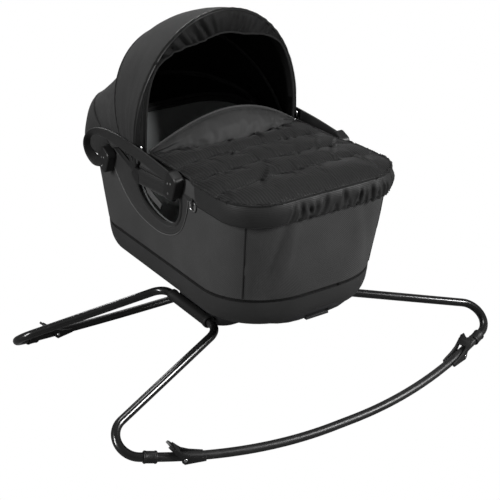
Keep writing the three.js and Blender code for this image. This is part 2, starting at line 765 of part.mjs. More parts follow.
// A point of an arch: straight legs from the pivots, then half an ellipse, all leaning back by an angle
function archPoint(share, line) {
  const { halfW, radius, leg, lean } = line;
  const fromEnd = Math.min(share, 1 - share);
  const side = share < 0.5 ? -1 : 1;
  let x = side * halfW;
  let reach = leg * fromEnd / BOW_LEG_SHARE;
  if (fromEnd > BOW_LEG_SHARE) {
    const angle = (fromEnd - BOW_LEG_SHARE) / (0.5 - BOW_LEG_SHARE) * Math.PI / 2;
    x = side * halfW * Math.cos(angle);
    reach = leg + (radius - leg) * Math.sin(angle);
  }
  return new THREE.Vector3(x, PIVOT_Y + reach * Math.sin(lean), PIVOT_Z + reach * Math.cos(lean));
}

function bowHalfW(order) {
  const first = seatX(PIVOT_Z - BOW_HUB_R, RIM_Z) + BOW_GAP + BOW_THICK / 2;
  return first + order * (BOW_THICK + BOW_GAP);
}

function archLine(order, radius, degrees, leg) {
  return { halfW: bowHalfW(order), radius, lean: radians(degrees), leg };
}

function grown(line, by) {
  return { ...line, halfW: line.halfW + by, radius: line.radius + by };
}

const REAR_LINE = archLine(0, REAR_BOW_R, REAR_BOW_DEG, REAR_LEG);
const MID_LINE = archLine(1, MID_BOW_R, MID_BOW_DEG, MID_LEG);
const FRONT_LINE = archLine(2, FRONT_BOW_R, FRONT_BOW_DEG, FRONT_LEG);

// The places along an arch at which bows and fabric have their points, from a start share on
function arcShares(start) {
  const shares = [start, 1 - start];
  for (let k = 0; k <= BOW_ARC_POINTS; k++) {
    const share = lerp(BOW_LEG_SHARE, 1 - BOW_LEG_SHARE, k / BOW_ARC_POINTS);
    if (share > start && share < 1 - start) shares.push(share);
  }
  return shares.sort((a, b) => a - b);
}

function bow(line) {
  const shares = arcShares(0);
  const face = new THREE.Vector3(0, Math.cos(line.lean), -Math.sin(line.lean));
  const rings = shares.map((share) => {
    const inner = archPoint(share, grown(line, -BOW_THICK / 2));
    const outer = archPoint(share, grown(line, BOW_THICK / 2));
    const half = face.clone().multiplyScalar(BOW_WIDE / 2);
    return [inner.clone().sub(half), inner.clone().add(half), outer.clone().add(half), outer.clone().sub(half)];
  });
  let solid = toSolid(skin(rings, false));
  for (const side of [-1, 1]) {
    const disc = new THREE.CylinderGeometry(BOW_HUB_R, BOW_HUB_R, BOW_THICK, 16).rotateZ(Math.PI / 2);
    solid = solid.add(toSolid(disc.translate(side * line.halfW, PIVOT_Y, PIVOT_Z)));
    const bore = PIVOT_PIN_R + RUN_GAP;
    const hole = new THREE.CylinderGeometry(bore, bore, BOW_THICK * 3, 12).rotateZ(Math.PI / 2);
    solid = solid.subtract(toSolid(hole.translate(side * line.halfW, PIVOT_Y, PIVOT_Z)));
  }
  return toGeometry(solid);
}

function canopyPivot() {
  const start = widestX(PIVOT_Z - PIVOT_PLATE_R, PIVOT_Z + PIVOT_PLATE_R) + SURFACE_GAP;
  const stop = bowHalfW(2) + BOW_THICK / 2 + BOW_GAP;
  const profile = [[0, start], [PIVOT_PLATE_R, start], [PIVOT_PLATE_R, start + PIVOT_PLATE / 2],
    [PIVOT_PLATE_R - PIVOT_PLATE, start + PIVOT_PLATE], [PIVOT_PIN_R, start + PIVOT_PLATE], [PIVOT_PIN_R, stop],
    [PIVOT_HEAD_R, stop], [PIVOT_HEAD_R - PIVOT_HEAD / 2, stop + PIVOT_HEAD], [0, stop + PIVOT_HEAD]];
  const geometry = lathe(profile, 20);
  return geometry.rotateY(Math.PI / 2).translate(0, PIVOT_Y, PIVOT_Z);
}

// Fabric stretched between two arches: flat over each bow, with a sag between them
const clothRowShares = [0, 0.07, 0.28, 0.5, 0.72, 0.93, 1];

function archCloth(from, to, thick, startShare) {
  const grid = (offset) => {
    const all = [];
    for (const t of clothRowShares) {
      const flat = clothRowShares[1];
      const eased = Math.min(Math.max((t - flat) / (1 - 2 * flat), 0), 1);
      const sag = CLOTH_SAG * Math.pow(Math.sin(eased * Math.PI), 2);
      const row = [];
      for (const share of arcShares(startShare)) {
        const line = {
          halfW: lerp(from.halfW, to.halfW, eased) + offset,
          radius: lerp(from.radius, to.radius, eased) + offset - sag,
          lean: lerp(from.lean, to.lean, t),
          leg: lerp(from.leg, to.leg, eased),
        };
        row.push(archPoint(share, line));
      }
      all.push(row);
    }
    return all;
  };
  return sheet(grid(thick), grid(0));
}

const CLOTH_LIFT = BOW_THICK / 2 + CLOTH_CLEAR;
const CLOTH_HALF_W = bowHalfW(2) + CLOTH_LIFT;

// The line on which fabric lies over a bow, a little to one side of the seam there
function clothLine(line, seam) {
  const radius = line.radius + CLOTH_LIFT;
  return { halfW: CLOTH_HALF_W, radius, lean: line.lean + seam * SEAM_HALF / radius, leg: line.leg };
}

function frontPanel() {
  return archCloth(clothLine(MID_LINE, -1), clothLine(FRONT_LINE, 0), CLOTH, CLOTH_START_SHARE);
}

function middlePanel() {
  return archCloth(clothLine(REAR_LINE, -1), clothLine(MID_LINE, 1), CLOTH, CLOTH_START_SHARE);
}

// Where the canopy's rear hem lies on the tub, as a share of the way round its head end
function hemPoint(share, offset) {
  const z = RIM_Z - SKIRT_DROP;
  const start = PIVOT_Y + REAR_LEG * Math.sin(REAR_LINE.lean) * REAR_CLOTH_START_SHARE / BOW_LEG_SHARE;
  const line = outline(z, -offset).filter((point) => point.y > start);
  const route = [new THREE.Vector3(line[0].x, start, z), ...line];
  route.push(new THREE.Vector3(line[line.length - 1].x, start, z));
  const steps = route.slice(1).map((point, k) => point.distanceTo(route[k]));
  let rest = (1 - share) * steps.reduce((sum, step) => sum + step, 0);
  let k = 0;
  while (k < steps.length - 1 && rest > steps[k]) {
    rest -= steps[k];
    k += 1;
  }
  return route[k].clone().lerp(route[k + 1], Math.min(rest / steps[k], 1));
}

// Rows of the rear panel: the first lies on the bow, the next clears it, the last is the hem
const rearRowShares = [-1, 0, 0.25, 0.5, 0.75, 1];

function rearPanel() {
  const shares = arcShares(REAR_CLOTH_START_SHARE);
  const top = clothLine(REAR_LINE, 1);
  const over = BOW_WIDE / 2 + CLOTH_CLEAR;
  const grid = (offset) => {
    const all = [];
    for (const t of rearRowShares) {
      const row = [];
      for (const share of shares) {
        const round = (share - shares[0]) / (1 - 2 * shares[0]);
        const at = archPoint(share, grown(top, offset));
        if (t >= 0) {
          at.y += over * Math.cos(top.lean);
          at.z -= over * Math.sin(top.lean);
          at.lerp(hemPoint(round, HEM_CLEAR + offset), t);
          at.y += REAR_BULGE * Math.sin(t * Math.PI) * Math.sin(share * Math.PI);
        }
        row.push(at);
      }
      all.push(row);
    }
    return all;
  };
  return sheet(grid(CLOTH), grid(0));
}

// Brim turned back over the front bow
function visor() {
  const rows = 4;
  const line = grown(clothLine(FRONT_LINE, 0), CLOTH + CLOTH_CLEAR);
  const grid = (offset) => {
    const all = [];
    for (let r = 0; r <= rows; r++) {
      const row = [];
      for (const share of arcShares(VISOR_START_SHARE)) {
        const high = Math.sin(share * Math.PI);
        const front = line.lean - radians(VISOR_FRONT_DEG) * (0.6 + 0.4 * high);
        const back = line.lean + radians(VISOR_BACK_DEG) * high * high;
        row.push(archPoint(share, { ...grown(line, offset), lean: lerp(front, back, r / rows) }));
      }
      all.push(row);
    }
    return all;
  };
  return sheet(grid(VISOR_THICK), grid(0));
}

// Boot cover

const seamShares = [0, 0.19, 0.44, 0.69, 1];

function bootHalfWidth(y, pull) {
  const half = RIM_HALF_W + BOOT_SEAT + BOOT_THICK - pull;
  const foot = RIM_FOOT_Y - BOOT_SEAT - BOOT_THICK + pull;
  const round = RIM_CORNER + BOOT_SEAT + BOOT_THICK - pull;
  const rise = foot + round - y;
  if (rise <= 0) return half;
  return half - round + Math.sqrt(Math.max(round * round - rise * rise, 0));
}

// Rows along the boot as shares of its length, finer where its corners are round
function bootRows() {
  const long = BOOT_HEAD_Y - RIM_FOOT_Y + BOOT_SEAT + BOOT_THICK;
  const round = RIM_CORNER + BOOT_SEAT + BOOT_THICK;
  const bend = 1 - round / long;
  const rows = [];
  for (let s = 0; s < seamShares.length - 1; s++) {
    const steps = 4;
    for (let k = 0; k < steps; k++) {
      const share = lerp(seamShares[s], seamShares[s + 1], k / steps);
      if (share < bend) rows.push(share);
    }
  }
  for (let k = 0; k <= 6; k++) rows.push(lerp(bend, 1, Math.sin(k * Math.PI / 12)));
  const skirt = (BOOT_HEAD_Y - BOOT_SKIRT_Y) / long;
  rows.push(skirt, skirt + BOOT_SEAT / long, skirt + 2 * BOOT_SEAT / long);
  return rows.sort((a, b) => a - b).map((share) => lerp(BOOT_HEAD_Y, BOOT_HEAD_Y - long, share));
}

function puffAt(share, across) {
  const s = seamShares.findIndex((seam, k) => k > 0 && share <= seam + 1e-9);
  const local = (share - seamShares[s - 1]) / (seamShares[s] - seamShares[s - 1]);
  const pillow = Math.pow(Math.max(Math.sin(local * Math.PI), 0), 0.6);
  return BOOT_CROWN * (1 - Math.pow(Math.abs(across), 2.4)) * 0.75 + BOOT_PUFF * pillow * (1 - Math.pow(across, 6));
}

function bootCover() {
  const rows = bootRows();
  const foot = RIM_FOOT_Y - BOOT_SEAT - BOOT_THICK;
  const skirtShares = [0, 0.12, 0.55, 1];
  const grid = (pull) => {
    const all = [];
    rows.forEach((y, r) => {
      const share = (y - BOOT_HEAD_Y) / (foot - BOOT_HEAD_Y);
      const wide = y < BOOT_SKIRT_Y - BOOT_SEAT / 2;
      const skirted = y < BOOT_SKIRT_Y - BOOT_SEAT * 1.5;
      const inner = Math.max(y, foot + pull);
      const half = wide ? bootHalfWidth(inner, pull) : RIM_HALF_W - BOOT_INSET - pull;
      const line = [];
      const edgeZ = RIM_Z + BOOT_SEAT + BOOT_THICK - pull;
      const low = skirted ? RIM_Z - BOOT_SKIRT : RIM_Z + BOOT_SEAT / 2;
      for (let k = skirtShares.length - 1; k > 0; k--) {
        line.push(new THREE.Vector3(-half, inner, lerp(edgeZ, low, skirtShares[k])));
      }
      for (let c = 0; c <= BOOT_COLUMNS; c++) {
        const across = Math.sin((c / BOOT_COLUMNS - 0.5) * Math.PI);
        const ends = Math.min(1, (1 - share) * 9);
        const z = edgeZ + puffAt(share, across) * ends;
        line.push(new THREE.Vector3(across * half, inner, z));
      }
      for (let k = 1; k < skirtShares.length; k++) {
        line.push(new THREE.Vector3(half, inner, lerp(edgeZ, low, skirtShares[k])));
      }
      all.push(line);
    });
    const last = all[all.length - 1];
    const side = skirtShares.length - 1;
    for (let k = 1; k < skirtShares.length; k++) {
      const edgeZ = RIM_Z + BOOT_SEAT + BOOT_THICK - pull;
      const z = lerp(edgeZ, RIM_Z - BOOT_SKIRT, skirtShares[k]);
      all.push(last.map((point, c) => {
        const flat = c >= side && c < last.length - side;
        return new THREE.Vector3(point.x, point.y, flat ? z : Math.min(point.z, z));
      }));
    }
    return all;
  };
  return sheet(grid(0), grid(BOOT_THICK));
}

// Padded flap that stands up at the boot's head end
function bootFlap() {
  const stationShares = [[0, 0.75], [0.2, 1], [0.6, 1], [0.88, 0.75], [1, 0.35]];
  const rings = [];
  for (let c = 0; c <= FLAP_COLUMNS; c++) {
    const across = lerp(-1, 1, c / FLAP_COLUMNS);
    const fall = 1 - Math.pow(Math.abs(across), 2.6);
    const high = FLAP_HIGH * (0.16 + 0.84 * fall);
    const base = RIM_Z + BOOT_SEAT + BOOT_CROWN * 0.75 * (1 - Math.pow(Math.abs(across), 2.4));
    const front = [];
    const back = [];
    for (const [t, thick] of stationShares) {
      const y = BOOT_HEAD_Y + RUN_GAP + FLAP_THICK / 2 * stationShares[0][1] + FLAP_BACK * t * (0.5 + 0.5 * t);
      const z = base + high * t;
      front.push(new THREE.Vector3(across * FLAP_HALF_W, y - FLAP_THICK / 2 * thick, z + FLAP_THICK / 4 * thick));
      back.push(new THREE.Vector3(across * FLAP_HALF_W, y + FLAP_THICK / 2 * thick, z - FLAP_THICK / 4 * thick * t));
    }
    rings.push([...front, ...back.reverse()]);
  }
  return skin(rings, false);
}

// Stand

const COLLAR_Z = TUBE_R + RAIL_RISE;

function legCorners(side) {
  const along = railTangent(1);
  const end = new THREE.Vector3(RAIL_HALF, -RAIL_Y, COLLAR_Z);
  const start = end.clone().addScaledVector(along, TUBE_JOINT / 2);
  const corner = end.clone().addScaledVector(along, LEG_REACH / along.x);
  const half = [start, corner, new THREE.Vector3(HUB_TUBE_X, -HUB_TUBE_Y, HUB_TUBE_Z)];
  const other = half.map((p) => new THREE.Vector3(p.x, -p.y, p.z)).reverse();
  return [...half, ...other].map((p) => p.setX(p.x * side));
}

// The corner's bend, tighter where it would otherwise start inside the collar
function cornerBend(corners) {
  const into = corners[1].clone().sub(corners[0]);
  const turn = into.angleTo(corners[2].clone().sub(corners[1]));
  const room = into.length() - COLLAR_LENGTH / 2 - COLLAR_EDGE;
  return Math.min(CORNER_BEND, room / Math.tan(turn / 2));
}

function legTube(side) {
  const corners = legCorners(side);
  const bend = cornerBend(corners);
  return tube(bentRoute(corners, [bend, HUB_BEND, HUB_BEND, bend]), TUBE_R, TUBE_SIDES);
}

// The rail's centre line: level in the middle, bowed outwards and rising to both ends
function railPoint(share, end) {
  const flat = 1 / RAIL_SEGMENTS;
  const run = Math.max(Math.abs(share) - flat, 0) / (1 - flat);
  const y = end * (RAIL_Y + RAIL_BOW * (1 - run * run));
  return new THREE.Vector3(share * RAIL_HALF, y, TUBE_R + RAIL_RISE * run * run);
}

// Direction of the front rail towards +X at a share of its half length
function railTangent(share) {
  const step = 0.01;
  return railPoint(share, -1).sub(railPoint(share - step, -1)).normalize();
}

function rail(end) {
  const points = [];
  const trim = 1 - TUBE_JOINT / 2 / RAIL_HALF;
  for (let k = 0; k <= RAIL_SEGMENTS; k++) {
    const share = lerp(-1, 1, k / RAIL_SEGMENTS);
    points.push(railPoint(share * (k === 0 || k === RAIL_SEGMENTS ? trim : 1), end));
  }
  let solid = toSolid(tube(points, TUBE_R, TUBE_SIDES));
  for (const side of [-1, 1]) {
    const frame = footFrame(side, end);
    const hole = new THREE.CylinderGeometry(FOOT_PIN_R + RUN_GAP, FOOT_PIN_R + RUN_GAP, TUBE_R * 4, 12);
    solid = solid.subtract(toSolid(hole.applyMatrix4(frame)));
  }
  return toGeometry(solid);
}

function collar(side, end) {
  const bore = TUBE_R / Math.cos(Math.PI / TUBE_SIDES) + TUBE_CLEAR;
  const half = COLLAR_LENGTH / 2;
  const rib = half - COLLAR_RIB_LENGTH;
  const profile = [[bore, -half], [COLLAR_R - COLLAR_EDGE, -half], [COLLAR_R, -half + COLLAR_EDGE],
    [COLLAR_R, -rib], [COLLAR_R - COLLAR_RIB, -rib + COLLAR_RIB], [COLLAR_R - COLLAR_RIB, rib - COLLAR_RIB],
    [COLLAR_R, rib], [COLLAR_R, half - COLLAR_EDGE], [COLLAR_R - COLLAR_EDGE, half], [bore, half]];
  const along = railTangent(1);
  along.set(along.x * side, along.y * -end, along.z);
  const place = new THREE.Vector3(side * RAIL_HALF, end * RAIL_Y, COLLAR_Z);
  return alongAt(lathe(profile, 14), along, place);
}

// Axes at a foot: X runs along the rail towards its middle, Y along the pin, Z up
function footFrame(side, end) {
  const at = railPoint(FOOT_X / RAIL_HALF, -1);
  const along = railTangent(FOOT_X / RAIL_HALF).negate();
  const place = new THREE.Vector3(side * at.x, -end * at.y, at.z);
  const inward = new THREE.Vector3(side * along.x, -end * along.y, along.z);
  const pin = new THREE.Vector3(inward.y, -inward.x, 0).normalize().multiplyScalar(inward.x > 0 ? -1 : 1);
  const up = new THREE.Vector3().crossVectors(inward, pin);
  if (up.z < 0) up.negate();
  const frame = new THREE.Matrix4().makeBasis(inward, pin, up);
  if (frame.determinant() < 0) frame.makeBasis(inward, pin.negate(), up);
  return frame.setPosition(place);
}

const cheekShares = [[1, -0.35], [1, 0.4], [0.7, 0.55], [0.3, 0.75], [-0.12, 1.2], [-0.4, 1.75], [-0.74, 2.18],
  [-0.74, 1.5], [-0.5, 0.9], [-0.24, 0.1], [-0.18, -0.6], [0, -1], [0.2, -0.85], [0.6, -0.6]];

function footYoke(side, end) {
  const inner = TUBE_R + FOOT_SIDE_GAP;
  const shape = new THREE.Shape(cheekShares.map(([u, w]) => {
    return new THREE.Vector2(u * (u > 0 ? FOOT_ARM : FOOT_PEDAL_BACK), w * FOOT_BOSS_R);
  }));
  const bore = new THREE.Path().absarc(0, 0, FOOT_PIN_R + RUN_GAP, 0, Math.PI * 2, true);
  shape.holes.push(bore);
  let solid = null;
  for (const cheek of [-1, 1]) {
    const plate = new THREE.ExtrudeGeometry(shape, { depth: FOOT_CHEEK, bevelEnabled: false, curveSegments: 6 });
    plate.rotateX(Math.PI / 2).translate(0, cheek > 0 ? inner + FOOT_CHEEK : -inner, 0);
    solid = solid ? solid.add(toSolid(plate)) : toSolid(plate);
  }
  const span = (inner + FOOT_CHEEK) * 2;
  const bridge = new THREE.BoxGeometry(FOOT_BRIDGE, span, FOOT_BRIDGE_THICK);
  bridge.rotateY(0.62).translate(-FOOT_PEDAL_BACK * 0.56, 0, FOOT_PEDAL_RISE * 0.84);
  solid = solid.add(toSolid(bridge));
  const wingShape = new THREE.Shape(wingShares.map(([v, w]) => new THREE.Vector2(v * span / 2, w * FOOT_BRIDGE)));
  const wing = new THREE.ExtrudeGeometry(wingShape, { depth: FOOT_BRIDGE_THICK, bevelEnabled: false });
  const stand = new THREE.Matrix4().set(0, 0, 1, -FOOT_BRIDGE_THICK / 2, 1, 0, 0, 0, 0, 1, 0, 0, 0, 0, 0, 1);
  wing.applyMatrix4(stand).rotateY(-0.9).translate(-FOOT_PEDAL_BACK * 0.78, 0, FOOT_PEDAL_RISE * 0.94);
  solid = solid.add(toSolid(wing));
  return toGeometry(solid).applyMatrix4(footFrame(side, end));
}

const wingShares = [[-1, -0.3], [1, -0.3], [1.05, 0.5], [0.7, 0.95], [0.3, 0.6], [0, 0.42], [-0.3, 0.6],
  [-0.7, 0.95], [-1.05, 0.5]];

function footPin(side, end) {
  const reach = TUBE_R + FOOT_SIDE_GAP + FOOT_CHEEK + RUN_GAP;
  const far = reach + FOOT_PIN_HEAD;
  const small = FOOT_PIN_HEAD_R - FOOT_PIN_HEAD / 2;
  const profile = [[0, -far], [small, -far], [FOOT_PIN_HEAD_R, -reach - FOOT_PIN_HEAD / 2], [FOOT_PIN_HEAD_R, -reach],
    [FOOT_PIN_R, -reach], [FOOT_PIN_R, reach], [FOOT_PIN_HEAD_R, reach], [FOOT_PIN_HEAD_R, reach + FOOT_PIN_HEAD / 2],
    [small, far], [0, far]];
  return lathe(profile, 8).rotateX(Math.PI / 2).applyMatrix4(footFrame(side, end));
}

function hubSleeve(side) {
  const bore = TUBE_R / Math.cos(Math.PI / TUBE_SIDES) + TUBE_CLEAR;
  const inner = SLEEVE_HALF - SLEEVE_CAP;
  const profile = [[bore, -SLEEVE_HALF], [SLEEVE_CAP_R - FOOT_PIN_HEAD, -SLEEVE_HALF],
    [SLEEVE_CAP_R, -SLEEVE_HALF + FOOT_PIN_HEAD], [SLEEVE_CAP_R, -inner], [SLEEVE_R, -inner], [SLEEVE_R, inner],
    [SLEEVE_CAP_R, inner], [SLEEVE_CAP_R, SLEEVE_HALF - FOOT_PIN_HEAD], [SLEEVE_CAP_R - FOOT_PIN_HEAD, SLEEVE_HALF],
    [bore, SLEEVE_HALF]];
  return lathe(profile, 16).rotateX(Math.PI / 2).translate(side * HUB_TUBE_X, 0, HUB_TUBE_Z);
}

// Moulded housing: bevelled block open underneath, with ribs to a centre boss and a seat for each sleeve
function hubBody() {
  const shape = roundedRectShape(HUB_HALF_X - HUB_BEVEL, HUB_HALF_Y - HUB_BEVEL, HUB_CORNER);
  const bevel = { bevelEnabled: true, bevelThickness: HUB_BEVEL, bevelSize: HUB_BEVEL, bevelSegments: 1 };
  const depth = HUB_HIGH - HUB_LOW - 2 * HUB_BEVEL;
  const block = new THREE.ExtrudeGeometry(shape, { depth, curveSegments: 4, ...bevel });
  let solid = toSolid(block.translate(0, 0, HUB_LOW + HUB_BEVEL));
  for (const side of [-1, 1]) {
    const seat = new THREE.CylinderGeometry(SLEEVE_CAP_R + RUN_GAP, SLEEVE_CAP_R + RUN_GAP, HUB_HALF_Y * 3, 20);
    solid = solid.subtract(toSolid(seat.translate(side * HUB_TUBE_X, 0, HUB_TUBE_Z)));
  }
  const high = HUB_HIGH - HUB_SKIN;
  const pocketEdge = HUB_TUBE_X - SLEEVE_CAP_R - HUB_SKIN;
  const pocket = roundedRectShape(pocketEdge, HUB_HALF_Y - HUB_SKIN - HUB_BEVEL, HUB_CORNER - HUB_SKIN);
  const deep = high - HUB_LOW + HUB_SKIN;
  const cavity = new THREE.ExtrudeGeometry(pocket, { depth: deep, bevelEnabled: false, curveSegments: 3 });
  let hollow = toSolid(cavity.translate(0, 0, HUB_LOW - HUB_SKIN));
  const boss = new THREE.CylinderGeometry(HUB_BOSS_R, HUB_BOSS_R, HUB_HIGH * 2, 20).rotateX(Math.PI / 2);
  hollow = hollow.subtract(toSolid(boss));
  for (let k = 0; k < 4; k++) {
    const rib = new THREE.BoxGeometry(HUB_HALF_X * 3, HUB_RIB, HUB_HIGH * 2).rotateZ(k * Math.PI / 4);
    hollow = hollow.subtract(toSolid(rib));
  }
  solid = solid.subtract(hollow);
  const bore = SPINDLE_R + RUN_GAP;
  const hole = new THREE.CylinderGeometry(bore, bore, HUB_HIGH, 20).rotateX(Math.PI / 2);
  return toGeometry(solid.subtract(toSolid(hole.translate(0, 0, HUB_HIGH + HUB_SKIN))));
}

function bearingRing() {
  const low = HUB_HIGH + RUN_GAP;
  const high = low + RING_HIGH;
  const profile = [[RING_BORE, low], [RING_R, low], [RING_R, high - TURN_EDGE / 2], [RING_R - TURN_EDGE / 2, high],
    [RING_BORE, high]];
  return lathe(profile, 24);
}

function turntable() {
  const low = HUB_HIGH + RING_HIGH + 2 * RUN_GAP;
  const high = low + TURN_HIGH;
  const stem = HUB_HIGH - HUB_SKIN;
  const profile = [[0, stem], [SPINDLE_R, stem], [SPINDLE_R, low], [TURN_R - TURN_EDGE, low], [TURN_R, low + TURN_EDGE],
    [TURN_R, high - TURN_EDGE], [TURN_R - TURN_EDGE, high], [TURN_BOSS_R, high],
    [TURN_BOSS_R, high + TURN_BOSS_HIGH - TURN_EDGE], [TURN_BOSS_R - TURN_EDGE, high + TURN_BOSS_HIGH],
    [0, high + TURN_BOSS_HIGH]];
  return lathe(profile, 24);
}

function addStand(group) {
  for (const [side, name] of [[-1, 'left'], [1, 'right']]) {
    group.add(makeMesh(`leg_tube_${name}`, legTube(side), GLOSS_TUBE, 0.18, 0.7));
    group.add(makeMesh(`hub_sleeve_${name}`, hubSleeve(side), BLACK_PLASTIC, 0.5, 0));
  }
  for (const [end, name] of [[-1, 'front'], [1, 'rear']]) {
    group.add(makeMesh(`rocker_rail_${name}`, rail(end), SATIN_TUBE, 0.4, 0.7));
    for (const [side, hand] of [[-1, 'left'], [1, 'right']]) {
      group.add(makeMesh(`rail_collar_${name}_${hand}`, collar(side, end), BLACK_PLASTIC, 0.55, 0));
      group.add(makeMesh(`rocker_foot_${name}_${hand}`, footYoke(side, end), BLACK_PLASTIC, 0.55, 0));
      group.add(makeMesh(`foot_pin_${name}_${hand}`, footPin(side, end), STEEL, 0.3, 0.9));
    }
  }
  group.add(makeMesh('hub_body', hubBody(), BLACK_PLASTIC, 0.5, 0));
  group.add(makeMesh('bearing_ring', bearingRing(), BLACK_PLASTIC, 0.4, 0));
  group.add(makeMesh('turntable', turntable(), BLACK_PLASTIC, 0.45, 0));
}

function addTub(group) {
  group.add(makeMesh('dock_dome', dockDome(), BLACK_PLASTIC, 0.5, 0));
  group.add(makeMesh('dock_paddle', dockPaddle(), BLACK_PLASTIC, 0.5, 0));
  group.add(makeMesh('base_tray', baseTray(), BLACK_PLASTIC, 0.45, 0));
  group.add(makeMesh('tub_lip', tubLip(), BLACK_PLASTIC, 0.6, 0));
  group.add(makeMesh('tub_wall', tubWall(), BLACK_FABRIC, 0.9, 0));
  group.add(makeMesh('rim_tube', rimTube(), STEEL, 0.35, 0.9));
  group.add(makeMesh('inner_liner', innerLiner(), LIGHT_GREY, 0.9, 0));
  group.add(makeMesh('mattress', mattress(), LIGHT_GREY, 0.9, 0));
  for (const [side, name] of [[-1, 'left'], [1, 'right']]) {
    group.add(makeMesh(`window_patch_${name}`, forSide(windowPatch(), side), BLACK_FABRIC, 0.8, 0));
    group.add(makeMesh(`grip_bar_${name}`, forSide(gripBar(), side), BLACK_PLASTIC, 0.6, 0));
    const foot = bracket(BRACKET_FOOT_Y, BRACKET_FOOT_Z, BRACKET_LEAN_FOOT);
    group.add(makeMesh(`strap_bracket_foot_${name}`, forSide(foot, side), BLACK_PLASTIC, 0.5, 0));
    const head = bracket(BRACKET_HEAD_Y, BRACKET_HEAD_Z, BRACKET_LEAN_HEAD);
    group.add(makeMesh(`strap_bracket_head_${name}`, forSide(head, side), BLACK_PLASTIC, 0.5, 0));
    group.add(makeMesh(`carry_strap_${name}`, forSide(strap(0), side), BLACK_PLASTIC, 0.75, 0));
    const ringFoot = wireRing(RING_FOOT_Y, RING_FOOT_Z);
    group.add(makeMesh(`wire_ring_foot_${name}`, forSide(ringFoot, side), STEEL, 0.25, 1));
    const ringHead = wireRing(RING_HEAD_Y, RING_HEAD_Z);
    group.add(makeMesh(`wire_ring_head_${name}`, forSide(ringHead, side), STEEL, 0.25, 1));
  }
  group.add(makeMesh('boot_cover', bootCover(), BLACK_FABRIC, 0.9, 0));
  group.add(makeMesh('boot_flap', bootFlap(), BLACK_FABRIC, 0.9, 0));
}

function addCanopy(group) {
  for (const [side, name] of [[-1, 'left'], [1, 'right']]) {
    group.add(makeMesh(`canopy_pivot_${name}`, forSide(canopyPivot(), side), BLACK_PLASTIC, 0.5, 0));
  }
  group.add(makeMesh('canopy_bow_rear', bow(REAR_LINE), BLACK_PLASTIC, 0.5, 0));
  group.add(makeMesh('canopy_bow_middle', bow(MID_LINE), BLACK_PLASTIC, 0.5, 0));
  group.add(makeMesh('canopy_bow_front', bow(FRONT_LINE), BLACK_PLASTIC, 0.5, 0));
  group.add(makeMesh('canopy_panel_rear', rearPanel(), BLACK_FABRIC, 0.9, 0));
  group.add(makeMesh('canopy_panel_middle', middlePanel(), BLACK_FABRIC, 0.9, 0));
  group.add(makeMesh('canopy_panel_front', frontPanel(), BLACK_FABRIC, 0.9, 0));
  group.add(makeMesh('canopy_visor', visor(), BLACK_FABRIC, 0.9, 0));
}

const bassinet = new THREE.Group();
addStand(bassinet);
addTub(bassinet);
addCanopy(bassinet);

// The origin lies on the floor, under the middle of the whole object
const box = new THREE.Box3().setFromObject(bassinet);
bassinet.position.set(0, -(box.min.y + box.max.y) / 2, -box.min.z);

export default bassinet;
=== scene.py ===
import json
import math
import random

import bmesh
import bpy
from mathutils import Matrix, Vector, noise as noise_field

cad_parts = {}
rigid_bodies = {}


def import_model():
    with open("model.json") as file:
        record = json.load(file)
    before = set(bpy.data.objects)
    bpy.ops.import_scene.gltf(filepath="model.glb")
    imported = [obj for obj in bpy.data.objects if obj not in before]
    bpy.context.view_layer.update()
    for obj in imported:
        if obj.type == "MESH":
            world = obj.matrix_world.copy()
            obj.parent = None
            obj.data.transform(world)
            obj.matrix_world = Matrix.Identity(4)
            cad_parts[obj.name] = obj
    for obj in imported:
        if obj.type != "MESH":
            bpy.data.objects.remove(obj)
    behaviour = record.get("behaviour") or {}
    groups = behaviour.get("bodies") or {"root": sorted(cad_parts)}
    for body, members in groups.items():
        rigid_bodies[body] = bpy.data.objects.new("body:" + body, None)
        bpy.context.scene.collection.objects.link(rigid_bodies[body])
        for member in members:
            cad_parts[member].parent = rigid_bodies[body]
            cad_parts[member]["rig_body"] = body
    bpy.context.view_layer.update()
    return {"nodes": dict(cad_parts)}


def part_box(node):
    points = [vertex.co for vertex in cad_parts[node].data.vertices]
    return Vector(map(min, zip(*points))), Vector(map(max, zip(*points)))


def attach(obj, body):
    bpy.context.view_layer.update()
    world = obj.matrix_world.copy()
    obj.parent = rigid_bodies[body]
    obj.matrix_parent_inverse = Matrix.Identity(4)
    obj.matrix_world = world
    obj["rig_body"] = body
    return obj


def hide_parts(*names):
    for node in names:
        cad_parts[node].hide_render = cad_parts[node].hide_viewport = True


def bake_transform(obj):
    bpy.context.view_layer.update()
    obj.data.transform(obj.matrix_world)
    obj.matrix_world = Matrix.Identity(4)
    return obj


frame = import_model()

# Camera, lamps and floor
# The bassinet stands on a pale studio floor in plain soft light and is seen from its foot end,
# a little to the left and from above.
CAMERA_AT = Vector((-1.3689, -2.2820, 1.4927))
CAMERA_AIM = Vector((0.0011, -0.0556, 0.2941))
CAMERA_LENS = 87.0
CAMERA_SENSOR = 36.0
CAMERA_ROLL = math.radians(-1.68)
FLOOR_HALF = 25.0
FLOOR_GREY = 0.18
SURROUND_LIGHT = 0.12
LAMPS = {
    "lamp_left": ((-2.7, -0.2, 1.7), (0.4, 1.6), 50.0),
    "lamp_foot": ((1.9, -2.5, 1.75), (0.5, 1.2), 88.0),
    "lamp_high": ((0.2, 0.3, 3.1), (1.2, 0.5), 12.0),
    "lamp_head": ((0.6, 2.6, 1.8), (1.4, 0.4), 20.0),
}

